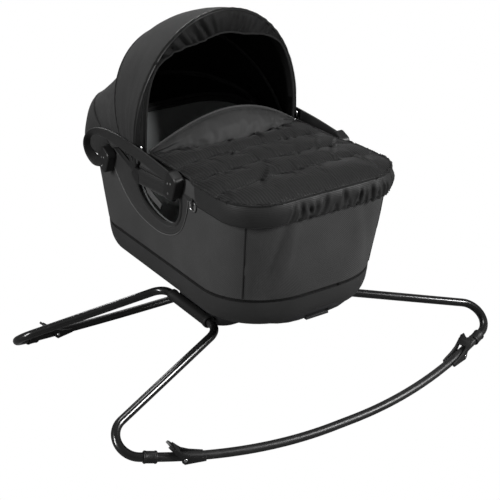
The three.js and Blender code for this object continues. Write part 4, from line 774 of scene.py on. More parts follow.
def stitch_row(name, path, body, material, slot, step=STITCH_STEP, thick=STITCH_THICK, closed=False):
    """A row of lockstitches along a path that lies on the cloth."""
    row = grown_by(name, row_tree, thread_mesh(name, path, closed), step=step, long=step * 0.68,
                   wide=thick, high=thick, round=1.0, finish=material)
    row.data.shade_smooth()
    return fit_out(row, body, slot, material)


zip_black = moulded_plastic("zip_black", tone(28), 0.5, 0.00002, wear=0.3)
band_middle = (BAND_LOW + BAND_HIGH) / 2
zip_row("zip_band_teeth", outline(band_middle, LIP_RECESS), "bassinet", zip_black, closed=True)


def cut_block(name, stations):
    """A small shaped block through rounded stations, each (place, half_x, half_y, z)."""
    rings = []
    for (x, y), half_x, half_y, z in stations:
        ring = []
        for k in range(20):
            a = math.tau * k / 20
            c, s = math.cos(a), math.sin(a)
            ring.append(Vector((x + half_x * math.copysign(abs(c) ** 0.5, c),
                                y + half_y * math.copysign(abs(s) ** 0.5, s), z)))
        rings.append(ring)
    return outward(loft(name, rings, around=True, capped=True))


slider_shape = [(0.0045, 0.0024, -0.005), (0.0052, 0.0034, -0.001), (0.0038, 0.0034, 0.004),
                (0.0030, 0.0024, 0.005)]
slider_near = Vector((0.05, -1.0, band_middle))
slider_at = min(outline(band_middle, LIP_RECESS), key=lambda p: (p - slider_near).length)
slider = cut_block("zip_slider", [((slider_at.x, slider_at.y), half_x, half_y, band_middle + up)
                                  for half_x, half_y, up in slider_shape])
fit_out(crisp(slider), "bassinet", "bright_steel", plain_steel("dark_zinc", tone(70), 0.35))

# Tub wall
# Stiffened cloth stretched over the rim tube: black twill outside, with a seam at each foot
# corner, soft creases beside it, and a D-shaped window in each long side.
WALL_ROWS = 30
WINDOW_Y = STAND_Y + 0.044
WINDOW_HALF = 0.108
WINDOW_TOP = RIM_Z - 0.054
WINDOW_DEPTH = 0.079
window_shares = [(-1, 0.1), (-0.99, -0.2), (-0.9, -0.55), (-0.68, -0.85), (-0.3, -1), (0.15, -0.98),
                 (0.55, -0.82), (0.82, -0.58), (0.96, -0.28), (1, 0), (0.97, 0.1)]
SEAM_TOP_X, SEAM_LOW_X = 0.180, 0.170
CORNER_SEAM_R = 0.0012
CORNER_SEAM_STEPS = 27
RIM_ROLL = 0.002
RIM_EDGE = 0.0006
# Creases in the cloth: place along the girth from the foot's middle, width, depth, lean
creases = [(0.117, 0.011, -0.0058, -0.057), (0.094, 0.013, 0.0034, -0.05), (0.150, 0.016, 0.0026, -0.02),
           (0.245, 0.020, -0.0012, -0.03), (0.330, 0.030, 0.0010, 0.05), (0.040, 0.030, -0.0008, 0.02),
           (0.180, 0.014, 0.0009, 0.02)]


def side_x(z):
    """Where the outer face of the tub's long side stands at a height."""
    return lerp(LIP_HALF_W, RIM_HALF_W, (z - LIP_Z) / (RIM_Z - LIP_Z))


def window_outline(grow=0.0):
    """The window's D in Y and Z, grown outwards by a margin."""
    run = smooth_run([Vector((y, z)) for y, z in window_shares], 5)
    wide, deep = WINDOW_HALF + grow, WINDOW_DEPTH + grow
    run = [Vector((WINDOW_Y + y * wide, WINDOW_TOP + z * deep)) for y, z in run]
    return run + [run[-1].lerp(run[0], k / 12) + Vector((0, grow * 0.5)) for k in range(1, 12)]


def window_cutter():
    """A bar with the window's outline that reaches through both sides."""
    reach = RIM_HALF_W * 1.5
    rings = [[Vector((x, p[0], p[1])) for p in window_outline()] for x in (-reach, reach)]
    return outward(loft("window_cutter", rings, around=True, capped=True))


def cut_windows(piece):
    """Cuts both windows through a shell in one stroke."""
    cutter = window_cutter()
    cut = piece.modifiers.new("window", "BOOLEAN")
    cut.operation = "DIFFERENCE"
    cut.solver = "EXACT"
    cut.object = cutter
    settle(piece)
    bpy.data.objects.remove(cutter)
    return piece


def pushed(ring, give):
    """Moves each point of a ring outwards, square to the ring, by give(point)."""
    made = []
    for k, point in enumerate(ring):
        along = ring[(k + 1) % len(ring)] - ring[k - 1]
        out = Vector((along.y, -along.x, 0.0)).normalized()
        made.append(point + out * give(point))
    return made


def noise_at(point, scale, seed=0.0):
    """Smooth noise about nought at a place."""
    return noise_field.noise(Vector(point) * scale + Vector((seed, seed * 0.7, -seed)))


def wall_give(point):
    """How far the stretched cloth stands off its true outline."""
    girth = abs(point.x) if point.y < RIM_FOOT_Y + 0.06 else 0.206 + (point.y - RIM_FOOT_Y - 0.06)
    high = (point.z - LIP_Z) / (RIM_Z - LIP_Z)
    give = 0.0009 * noise_at(point, 9.0, 3.0) + 0.0005 * noise_at(point, 26.0, 8.0)
    give += 0.0022 * math.sin(math.pi * min(max(high, 0.0), 1.0)) * 0.6
    side = 1.0 if point.x < 0 else 0.55
    for place, width, depth, lean in creases:
        off = (girth - place - lean * (high - 0.5)) / width
        give += side * depth * math.exp(-off * off) * math.sin(math.pi * (0.1 + 0.85 * high))
    return give


WALL_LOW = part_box("tub_wall")[0][2]
wall_rings = []
for k in range(WALL_ROWS + 1):
    z = lerp(WALL_LOW, RIM_Z - RIM_ROLL, k / WALL_ROWS)
    ring = outline(z, 0.0)
    wall_rings.append(pushed(ring, wall_give) if 0 < k < WALL_ROWS else ring)
wall_rings += [outline(RIM_Z - RIM_EDGE, RIM_EDGE), outline(RIM_Z, RIM_ROLL), outline(RIM_Z, WALL - RIM_ROLL),
               outline(RIM_Z - RIM_ROLL, WALL)]
wall_rings += [outline(lerp(RIM_Z, WALL_LOW, k / 8), WALL) for k in range(1, 9)]
tub = cut_windows(outward(loft("tub_cloth", wall_rings, around=True, along=True)))
tub_twill = woven_cloth("tub_twill", tone(70), 0.0042, 0.00045, contrast=0.26, amount=0.14)
fit_out(crisp(tub, 45.0), "bassinet", "tub_fabric", tub_twill, "tub_wall")

seam_black = woven_cloth("seam_black", tone(34), 0.0010, 0.0001, sheen=0.1, on_uv=False)
thread_grey = woven_cloth("thread_grey", tone(92), 0.0004, 0.00005, on_uv=False)
for side, hand in HANDS:
    path = []
    for k in range(CORNER_SEAM_STEPS + 1):
        rise = k / CORNER_SEAM_STEPS
        z = lerp(WALL_LOW + 0.001, RIM_Z - 0.03, rise)
        t = (z - LIP_Z) / (RIM_Z - LIP_Z)
        corner = lerp(LIP_CORNER, RIM_CORNER, max(t, 0.0))
        beyond = lerp(SEAM_LOW_X, SEAM_TOP_X, rise) - side_x(z) + corner
        a = math.asin(min(max(beyond / corner, 0.0), 0.98))
        middle = Vector((side * (side_x(z) - corner), lerp(LIP_FOOT_Y, RIM_FOOT_Y, t) + corner, z))
        way = Vector((side * math.sin(a), -math.cos(a), 0.0))
        at = middle + way * corner
        path.append(at + way * (wall_give(at) + 0.0004))
    welt = tube_along(f"corner_seam_{hand}", path, CORNER_SEAM_R, sides=10)
    fit_out(welt, "bassinet", "tub_fabric", seam_black)
    for gap, which in ((-0.004, "fore"), (0.004, "aft")):
        aside = Vector((side * gap * 0.75, gap * 0.6, 0)) + Vector((side * 0.7, -0.7, 0)) * 0.0006
        stitch_row(f"corner_stitches_{which}_{hand}", [p + aside for p in path], "bassinet", thread_grey,
                   "tub_fabric", thick=FINE_STITCH)

# Lining, rim tube and rim sleeve
# A pale grey cloth lining hangs inside the wall, and the steel rim tube runs round the top in
# a sewn sleeve of the same black twill.
LINER = 0.003
RIM_TUBE_R = 0.006
SLEEVE_SHIFT = 0.0012
SLEEVE_CLOTH = 0.0004
LINER_ROWS = 12
LINER_FOLD_ROWS = 24
LINER_FOLD = 0.0022
LINER_LOW, LINER_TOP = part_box("inner_liner")[0][2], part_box("inner_liner")[1][2]
liner_inset = WALL + 2 * RUN_GAP
liner_rings = []
for k in range(LINER_ROWS + 1):
    z = lerp(LINER_LOW, LINER_TOP, k / LINER_ROWS)
    liner_rings.append(outline(z, liner_inset))
for k in range(LINER_FOLD_ROWS, -1, -1):
    z = lerp(LINER_LOW, LINER_TOP, k / LINER_FOLD_ROWS)
    soft = 0.0 if k in (0, LINER_FOLD_ROWS) else 1.0
    liner_rings.append(pushed(outline(z, liner_inset + LINER),
                              lambda p: -soft * abs(noise_at(p, 14.0, 21.0)) * LINER_FOLD))
liner = cut_windows(outward(loft("lining", liner_rings, around=True, along=True)))
liner_grey = woven_cloth("liner_grey", tone(158, (0.97, 1.0, 1.0)), 0.0012, 0.0001, contrast=0.06)
fit_out(crisp(liner, 45.0), "bassinet", "liner_fabric", liner_grey, "inner_liner")

rim_middle_z = RIM_Z - WALL - RIM_TUBE_R
rim_steel = plain_steel("rim_steel", tone(168), 0.3)
rim_path = outline(rim_middle_z, WALL + RUN_GAP + RIM_TUBE_R)
rim = tube_along("rim_bar", rim_path, RIM_TUBE_R - 0.0008, sides=16, closed=True)
fit_out(rim, "bassinet", "rim_steel", rim_steel, "rim_tube")
sleeve_path = pushed(outline(rim_middle_z + SLEEVE_SHIFT, WALL + RUN_GAP + RIM_TUBE_R + SLEEVE_SHIFT),
                     lambda p: SLEEVE_CLOTH * noise_at(p, 40.0, 5.0))
rim_sleeve = tube_along("rim_sleeve", sleeve_path, RIM_TUBE_R + SLEEVE_CLOTH, sides=18, closed=True)
fit_out(rim_sleeve, "bassinet", "liner_fabric", woven_cloth("rim_twill", tone(52), 0.0016, 0.00016))

# Mattress
# A foam pad in a pale grey knitted cover, crowned and piped round its top edge; it lies on the
# tray's floor inside the lining.
MATTRESS_EDGE = 0.016
MATTRESS_INSET = WALL + LINER + 0.003
PAD_LOW, PAD_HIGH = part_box("mattress")[0][2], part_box("mattress")[1][2]
PAD_SIDE_TOP = PAD_HIGH - 0.007
SIM_FRAMES = 20
PAD_PRESSURE = 2.0
PAD_CAP = 0.004
PAD_PIPING_R = 0.0018
pad_shares = [(1.0, 0.0), (0.45, 0.05), (0.1, 0.16), (0.0, 0.3), (0.02, 0.5), (0.0, 0.72), (0.12, 0.88),
              (0.4, 0.97), (1.0, 1.03), (2.2, 1.06), (4.0, 1.085), (6.0, 1.1), (8.5, 1.11), (10.5, 1.115)]


def inflate(piece, pinned, pressure, cap, grow=0.0, stiffness=18.0, bending=0.6):
    """Swells a pad with air under its cloth; pinned points stay, and no point moves past the cap."""
    start = [v.co.copy() for v in piece.data.vertices]
    group = piece.vertex_groups.new(name="pinned")
    group.add(pinned, 1.0, "REPLACE")
    cloth = piece.modifiers.new("cloth", "CLOTH")
    settings = cloth.settings
    settings.quality = 6
    settings.mass = 0.25
    settings.tension_stiffness = stiffness
    settings.compression_stiffness = stiffness
    settings.shear_stiffness = stiffness / 3
    settings.bending_stiffness = bending
    settings.use_pressure = True
    settings.uniform_pressure_force = pressure
    settings.shrink_min = -grow
    settings.vertex_group_mass = "pinned"
    settings.pin_stiffness = 1.0
    settings.effector_weights.gravity = 0.0
    cloth.collision_settings.use_collision = False
    cloth.point_cache.frame_start = 1
    cloth.point_cache.frame_end = SIM_FRAMES
    for number in range(1, SIM_FRAMES + 1):
        scene.frame_set(number)
    settle(piece)
    for vertex, before in zip(piece.data.vertices, start):
        move = vertex.co - before
        if move.length > cap:
            vertex.co = before + move.normalized() * cap
    piece.vertex_groups.clear()
    scene.frame_set(1)
    return piece


pad_rings = []
for pull, rise in pad_shares:
    z = lerp(PAD_LOW, PAD_SIDE_TOP, rise)
    curve = TRAY_INSET * max(0.0, 0.75 - rise * 2.2)
    pad_rings.append(pushed(outline(z, MATTRESS_INSET + curve + pull * MATTRESS_EDGE),
                            lambda p: 0.0006 * noise_at(p, 18.0, 4.0)))
pad = outward(loft("mattress_pad", pad_rings, around=True, capped=True))
low_points = [v.index for v in pad.data.vertices if v.co.z < PAD_LOW + 0.02]
inflate(pad, low_points, PAD_PRESSURE, PAD_CAP, grow=0.01)
mattress_grey = woven_cloth("mattress_grey", tone(158, (0.98, 1.0, 0.99)), 0.0014, 0.00012, on_uv=False,
                            contrast=0.05)
fit_out(crisp(pad, 60.0), "bassinet", "mattress_fabric", mattress_grey, "mattress")
pad_edge = outline(lerp(PAD_LOW, PAD_SIDE_TOP, 0.9), MATTRESS_INSET + 0.002)
piping = tube_along("mattress_piping", pad_edge, PAD_PIPING_R, sides=10, closed=True)
fit_out(piping, "bassinet", "mattress_fabric", mattress_grey)

# Window patches, borders and their piping
# On each long side a smooth rubbery patch is sewn round the window, with a padded roll on the
# cut edge and a pale reflective piping along its lower edge.
PATCH_THICK = 0.003
PATCH_Y = STAND_Y + 0.092
PATCH_HALF = 0.188
PATCH_TOP = RIM_Z - 0.048
PATCH_DEPTH = 0.116
SURFACE_GAP = 0.0004
BORDER_R = 0.0046
PIPING_R = 0.0007
PATCH_EDGE = 0.0011
CUT_MARGIN = 0.001
SEWN_MARGIN = 0.0085
patch_shares = [(-1, 0.04), (-0.93, -0.3), (-0.8, -0.66), (-0.58, -0.9), (-0.28, -1.02), (0.02, -1.01),
                (0.32, -0.92), (0.56, -0.75), (0.76, -0.5), (0.91, -0.24), (1, 0.05)]
patch_top_shares = [(0.62, 0.13), (-0.6, 0.18)]


def patch_curve():
    """The patch's lower edge in Y and Z."""
    run = smooth_run([Vector((y, z)) for y, z in patch_shares], 5)
    return [Vector((PATCH_Y + y * PATCH_HALF, PATCH_TOP + z * PATCH_DEPTH)) for y, z in run]


def cut_plate(name, outlines, thick, edge, laid):
    """A plate with rounded edges, cut to closed outlines and laid in place by laid(u, v, w)."""
    curve = bpy.data.curves.new(name, "CURVE")
    curve.dimensions = "2D"
    curve.fill_mode = "BOTH"
    curve.extrude = thick / 2 - edge
    curve.bevel_depth = edge
    curve.bevel_resolution = 2
    curve.offset = -edge
    for points in outlines:
        spline = curve.splines.new("POLY")
        spline.points.add(len(points) - 1)
        spline.use_cyclic_u = True
        for spot, point in zip(spline.points, points):
            spot.co = (point[0], point[1], 0.0, 1.0)
    flat = new_object(name, curve)
    mesh = bpy.data.meshes.new_from_object(flat.evaluated_get(bpy.context.evaluated_depsgraph_get()))
    bpy.data.objects.remove(flat)
    work = bmesh.new()
    work.from_mesh(mesh)
    bmesh.ops.remove_doubles(work, verts=work.verts, dist=0.000004)
    layer = work.loops.layers.uv.new("cloth")
    for face in work.faces:
        for loop in face.loops:
            loop[layer].uv = loop.vert.co.xy
    for vert in work.verts:
        vert.co = laid(*vert.co)
    bmesh.ops.recalc_face_normals(work, faces=work.faces)
    for old in list(mesh.uv_layers):
        mesh.uv_layers.remove(old)
    work.to_mesh(mesh)
    work.free()
    return crisp(new_object(name, mesh), 40.0)


def on_side(side, lift):
    """Lays a plate's point on the tub's long side, a lift off its face."""
    def laid(u, v, w):
        return Vector((side * (side_x(v) + SURFACE_GAP + lift + w), u, v))
    return laid


patch_rubber = woven_cloth("patch_rubber", tone(46), 0.0008, 0.00005, roughness=0.6, sheen=0.15, contrast=0.05,
                           amount=0.08, specular=0.45)
border_black = woven_cloth("border_black", tone(40), 0.0010, 0.00008, roughness=0.66, sheen=0.2, on_uv=False)
piping_pale = woven_cloth("piping_pale", tone(120), 0.0006, 0.00004, roughness=0.5, on_uv=False)
for side, hand in HANDS:
    whole = patch_curve() + [Vector((PATCH_Y + y * PATCH_HALF, PATCH_TOP + z * PATCH_DEPTH))
                             for y, z in patch_top_shares]
    patch = cut_plate(f"patch_{hand}", [whole, window_outline(CUT_MARGIN)], PATCH_THICK, PATCH_EDGE,
                      on_side(side, PATCH_THICK / 2))
    fit_out(patch, "bassinet", "patch_fabric", patch_rubber, f"window_patch_{hand}")
    lay = on_side(side, PATCH_THICK * 0.8)
    edge_path = [lay(p[0], p[1], 0.0) for p in window_outline(CUT_MARGIN)]
    border = tube_along(f"window_border_{hand}", edge_path, BORDER_R, sides=16, closed=True)
    fit_out(border, "bassinet", "patch_fabric", border_black)
    pipe_path = [lay(p[0], p[1], 0.0004) for p in patch_curve()]
    pipe = tube_along(f"patch_piping_{hand}", pipe_path, PIPING_R, sides=10)
    fit_out(pipe, "bassinet", "patch_fabric", piping_pale)
    inside = [lay(lerp(p[0], PATCH_Y, 0.03), lerp(p[1], PATCH_TOP, 0.045), 0.0007) for p in patch_curve()]
    stitch_row(f"patch_stitches_{hand}", inside, "bassinet", thread_grey, "patch_fabric", thick=FINE_STITCH)
    round_window = [lay(p[0], p[1], 0.0009) for p in window_outline(SEWN_MARGIN)]
    stitch_row(f"window_stitches_{hand}", round_window, "bassinet", thread_grey, "patch_fabric",
               thick=FINE_STITCH, closed=True)

# Window ties
# Inside each window a pale tie of webbing hangs from the lining and is tucked to the mattress.
TIE_WIDE = 0.016
TIE_THICK = 0.0014
tie_offsets = [(0.0, 0.121, 0.070), (0.001, 0.096, 0.090), (0.003, 0.064, 0.107), (0.006, 0.034, 0.121)]
webbing_pale = woven_cloth("webbing_pale", tone(96), 0.0016, 0.0002)


def flat_strap(name, path, across, wide, thick):
    """Flat webbing through points, its width lying along a direction at each of them."""
    rings = []
    for k, point in enumerate(path):
        tangent = (path[min(k + 1, len(path) - 1)] - path[max(k - 1, 0)]).normalized()
        width = (across[k] - tangent * across[k].dot(tangent)).normalized()
        face = tangent.cross(width)
        half, deep = wide[k] / 2 if isinstance(wide, list) else wide / 2, thick / 2
        shape = ((-1, -0.4), (-0.985, -0.85), (-0.94, -1), (-0.5, -1), (0, -1), (0.5, -1), (0.94, -1),
                 (0.985, -0.85), (1, -0.4), (1, 0.4), (0.985, 0.85), (0.94, 1), (0.5, 1), (0, 1), (-0.5, 1),
                 (-0.94, 1), (-0.985, 0.85), (-1, 0.4))
        rings.append([point + width * a * half + face * b * deep for a, b in shape])
    return crisp(outward(loft(name, rings, around=True, capped=True)), 50.0)


for side, hand in HANDS:
    inner = side * (RIM_HALF_W - WALL - LINER - 0.004)
    route = [Vector((inner - side * back, WINDOW_Y + along, RIM_Z - down)) for back, along, down in tie_offsets]
    tie_path = smooth_run(route, 8)
    tie = flat_strap(f"window_tie_{hand}", tie_path, [Vector((0, 0.4, 1))] * len(tie_path), TIE_WIDE, TIE_THICK)
    fit_out(tie, "bassinet", "liner_fabric", webbing_pale)

# Side grips
# A padded carrying grip over each window: soft foam in a smooth black sleeve, ended by two
# moulded plates and clipped at its rear end by a steel ladder buckle.
GRIP_FOOT = Vector((STAND_Y - 0.038, RIM_Z - 0.041))
GRIP_HEAD = Vector((STAND_Y + 0.124, RIM_Z - 0.051))
GRIP_HALF_T = 0.008
GRIP_HALF_H = 0.018
GRIP_STEPS = 40
GRIP_SIDES = 28
GRIP_SEAM_STEPS = 29
GRIP_PLATE_STEPS = 8
GRIP_PLATES = ((0.035, 0.017, "foot"), (0.965, 0.012, "head"))
seat_x = side_x(GRIP_HEAD.y - GRIP_HALF_H) + 2 * SURFACE_GAP + PATCH_THICK
GRIP_X = seat_x + GRIP_HALF_T
grip_foam = woven_cloth("grip_foam", tone(31), 0.0010, 0.00006, roughness=0.62, sheen=0.2, contrast=0.05,
                        amount=0.1)


def grip_ring(side, t, puff):
    """One section of the grip: flat-backed, rounded, with a shallow waist along its face."""
    y, z = lerp(GRIP_FOOT.x, GRIP_HEAD.x, t), lerp(GRIP_FOOT.y, GRIP_HEAD.y, t)
    ring = []
    for k in range(GRIP_SIDES):
        a = math.tau * k / GRIP_SIDES
        c, s = math.cos(a), math.sin(a)
        bulge = math.copysign(abs(c) ** 0.75, c) * (1.0 if c < 0 else 1.0 - 0.16 * math.exp(-(s * 4) ** 2))
        wrinkle = 1.0 + 0.02 * noise_at((t * 6.0, c, s), 1.6, side)
        ring.append(Vector((side * (GRIP_X + GRIP_HALF_T * puff * bulge * wrinkle), y,
                            z + GRIP_HALF_H * puff * math.copysign(abs(s) ** 0.85, s))))
    return ring


for side, hand in HANDS:
    rings = []
    for k in range(GRIP_STEPS + 1):
        t = k / GRIP_STEPS
        from_end = min(t, 1 - t)
        rings.append(grip_ring(side, t, min(1.0, 0.62 + 0.38 * (1 - (1 - min(from_end / 0.1, 1.0)) ** 2.4))))
    grip = outward(loft(f"grip_{hand}", rings, around=True, capped=True))
    fit_out(crisp(grip, 60.0), "bassinet", "grip_foam", grip_foam, f"grip_bar_{hand}")
    seam = []
    for k in range(GRIP_SEAM_STEPS + 1):
        t = lerp(0.06, 0.94, k / GRIP_SEAM_STEPS)
        y, z = lerp(GRIP_FOOT.x, GRIP_HEAD.x, t), lerp(GRIP_FOOT.y, GRIP_HEAD.y, t)
        seam.append(Vector((side * (GRIP_X + GRIP_HALF_T * 0.5), y, z + GRIP_HALF_H * 0.93)))
    stitch_row(f"grip_stitches_{hand}", seam, "bassinet", thread_grey, "grip_foam", thick=FINE_STITCH)
    for t, long, which in GRIP_PLATES:
        y, z = lerp(GRIP_FOOT.x, GRIP_HEAD.x, t), lerp(GRIP_FOOT.y, GRIP_HEAD.y, t)
        rings = []
        for k in range(GRIP_PLATE_STEPS + 1):
            across = lerp(-long, long, k / GRIP_PLATE_STEPS)
            grow = 1.0 - 0.10 * abs(2 * k / GRIP_PLATE_STEPS - 1) ** 4
            ring = [Vector((p.x + side * 0.0009 * grow, y + across, z + (p.z - z) * (1.06 * grow)))
                    for p in grip_ring(side, t, 0.98)]
            rings.append(ring)
        plate = outward(loft(f"grip_plate_{which}_{hand}", rings, around=True, capped=True))
        fit_out(crisp(plate, 40.0), "bassinet", "black_plastic", black_nylon)

# Buckle at the rear end of each grip
# A small steel ladder buckle on a folded tab of webbing takes up the slack behind the grip.
BUCKLE_HALF = 0.009
BUCKLE_WIRE = 0.0013
BUCKLE_OFF = 0.0052
tab_offsets = [(-0.003, -0.004, 0.0), (0.0012, 0.002, 0.0), (-0.0008, 0.012, 0.0),
               (-0.0036, 0.030, -0.001)]
buckle_shares = [(-0.6, -1), (0.6, -1), (0.8, 0), (0.6, 1), (-0.6, 1), (-0.8, 0)]
for side, hand in HANDS:
    y, z = GRIP_HEAD.x + 0.008, GRIP_HEAD.y + 0.006
    x = side * (seat_x + BUCKLE_OFF)
    frame_path = smooth_run([Vector((x, y + BUCKLE_HALF * a, z + BUCKLE_HALF * b)) for a, b in buckle_shares],
                            6, closed=True)
    buckle = tube_along(f"grip_buckle_{hand}", frame_path, BUCKLE_WIRE, sides=10, closed=True)
    fit_out(buckle, "bassinet", "bright_steel", bright_steel)
    bar_path = [Vector((x, y, z - BUCKLE_HALF)), Vector((x, y, z + BUCKLE_HALF))]
    bar = tube_along(f"grip_buckle_bar_{hand}", bar_path, BUCKLE_WIRE, sides=10)
    fit_out(crisp(bar), "bassinet", "bright_steel", bright_steel)
    tab_path = smooth_run([Vector((x + side * out, y + along, z + up)) for out, along, up in tab_offsets], 6)
    tab = flat_strap(f"grip_tab_{hand}", tab_path, [Vector((0, 0, 1))] * len(tab_path), 0.0145, 0.0013)
    fit_out(tab, "bassinet", "strap_webbing", border_black)

# Carry straps
# One flat strap of coated webbing on each side runs from bracket to bracket outside the canopy
# and loops out level round its far end.
STRAP_X = abs(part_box("carry_strap_left")[1][0]) + 0.002
STRAP_THICK = 0.004
STRAP_WIDE = 0.030
STRAP_RISE = 0.009
STRAP_SWING_OUT = 0.38
STRAP_NARROWING = 0.25
STRAP_SEWN = slice(8, 88)
STRAP_LOOP_Y = STAND_Y + 0.352
STRAP_TOP_Z = RIM_Z + 0.020
STRAP_LOW_Z = RIM_Z - 0.069
BRACKET_FOOT = Vector((STAND_Y - 0.056, RIM_Z - 0.017))
BRACKET_HEAD = Vector((STAND_Y + 0.277, RIM_Z - 0.055))
BRACKET_HALF_W = 0.021
BRACKET_LEANS = {"foot": 0.42, "head": 0.5}
strap_shares = [(0.11, 0.76, 0), (0.29, 0.85, 0), (0.5, 0.91, 0), (0.69, 0.93, 0.05), (0.82, 0.9, 0.2),
                (0.92, 0.8, 0.5), (0.977, 0.62, 0.85), (1, 0.38, 1), (0.977, 0.146, 0.9), (0.92, 0, 0.6),
                (0.857, 0.067, 0.25), (0.81, 0.19, 0)]


def strap_route():
    """The strap's middle line: along, up, and how far its width has turned from upright to level."""
    start = Vector((BRACKET_FOOT.x - BRACKET_HALF_W / 2, BRACKET_FOOT.y + STRAP_RISE, 0.0))
    stop = Vector((BRACKET_HEAD.x - BRACKET_HALF_W / 3, BRACKET_HEAD.y + STRAP_RISE, 0.0))
    middle = [Vector((lerp(start.x, STRAP_LOOP_Y, along), lerp(STRAP_LOW_Z, STRAP_TOP_Z, rise), turned))
              for along, rise, turned in strap_shares]
    return smooth_run([start] + middle + [stop], 9)


strap_coated = woven_cloth("strap_webbing", tone(34), 0.0016, 0.00007, roughness=0.5, sheen=0.1, contrast=0.04,
                           amount=0.08, specular=0.45)
for side, hand in HANDS:
    points, widths, across = [], [], []
    route = strap_route()
    for k, (y, z, turned) in enumerate(route):
        before, after = route[max(k - 1, 0)], route[min(k + 1, len(route) - 1)]
        along = Vector((0.0, after.x - before.x, after.y - before.y)).normalized()
        up = Vector((0.0, -along.z, along.y))
        angle = min(max(turned, 0.0), 1.0) * math.pi / 2
        points.append(Vector((side * (STRAP_X + turned * STRAP_WIDE * STRAP_SWING_OUT), y, z)))
        across.append(Vector((side * math.sin(angle), 0, 0)) + up * math.cos(angle))
        widths.append(STRAP_WIDE * (1 - turned * STRAP_NARROWING))
    strap = flat_strap(f"strap_{hand}", points, across, widths, STRAP_THICK)
    fit_out(strap, "bassinet", "strap_webbing", strap_coated, f"carry_strap_{hand}")
    for edge, which in ((-0.39, "low"), (0.39, "high")):
        line = [p + w.normalized() * wide * edge + Vector((side * STRAP_THICK * 0.5, 0, 0))
                for p, w, wide in zip(points[STRAP_SEWN], across[STRAP_SEWN], widths[STRAP_SEWN])]
        stitch_row(f"strap_stitches_{which}_{hand}", line, "bassinet", strap_coated, "strap_webbing",
                   step=0.0036, thick=0.0007)

# Brackets and rivets
# Moulded nylon brackets on the wall clasp the straps' ends, each held by three bright domed
# rivets through the strap.
BRACKET_EDGE = 0.0016
RIVET_R = 0.0029
RIVET_SPACE = 0.0062
RIVET_HIGH = 0.0012
RIVET_ABOVE = 0.006
RIVET_BELOW = 0.021

# Sets one domed head on every point of a mesh, facing the way its attribute says
dome_tree, entry, leave = geometry_tree(
    "domed_heads", [("Radius", "NodeSocketFloat", 0.003), ("Height", "NodeSocketFloat", 0.0016),
                    ("Finish", "NodeSocketMaterial", None)])
facing = placed(dome_tree, "GeometryNodeInputNamedAttribute", {"Name": "facing"}, data_type="FLOAT_VECTOR")
turn = placed(dome_tree, "FunctionNodeAlignRotationToVector", {"Vector": facing.outputs["Attribute"]}, axis="Z")
ball = placed(dome_tree, "GeometryNodeMeshUVSphere", {"Segments": 16, "Rings": 10, "Radius": 1.0})
size = placed(dome_tree, "ShaderNodeCombineXYZ",
              {"X": entry["Radius"], "Y": entry["Radius"], "Z": entry["Height"]})
heads = placed(dome_tree, "GeometryNodeInstanceOnPoints",
               {"Points": entry["Geometry"], "Instance": ball.outputs["Mesh"],
                "Rotation": turn.outputs["Rotation"], "Scale": size.outputs[0]})
realised(dome_tree, heads, entry, leave)


def domed_heads(name, spots, radius, height, body, material, slot="bright_steel"):
    """Rivet heads at (place, facing) pairs, as one piece."""
    mesh = bpy.data.meshes.new(name)
    mesh.from_pydata([tuple(place) for place, _ in spots], [], [])
    layer = mesh.attributes.new("facing", "FLOAT_VECTOR", "POINT")
    layer.data.foreach_set("vector", [v for _, way in spots for v in way])
    piece = grown_by(name, dome_tree, mesh, radius=radius, height=height, finish=material)
    piece.data.shade_smooth()
    return fit_out(piece, body, slot, material)


for side, hand in HANDS:
    spots = []
    for place, at in (("foot", BRACKET_FOOT), ("head", BRACKET_HEAD)):
        node = f"strap_bracket_{place}_{hand}"
        moulded(node, BRACKET_EDGE, black_nylon, segments=3)
        face_x = side * max(abs(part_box(node)[0][0]), abs(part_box(node)[1][0]))
        lean = BRACKET_LEANS[place]
        for step in (-1, 1):
            rivet = Vector((face_x, at.x + step * RIVET_SPACE, at.y + RIVET_ABOVE - step * 0.0012))
            spots.append((rivet, Vector((side, 0, 0))))
        low = Vector((math.sin(lean), -math.cos(lean))) * RIVET_BELOW
        spots.append((Vector((face_x, at.x + low.x * 0.9, at.y + low.y)), Vector((side, 0, 0))))
    domed_heads(f"bracket_rivets_{hand}", spots, RIVET_R, RIVET_HIGH, "bassinet", bright_steel)

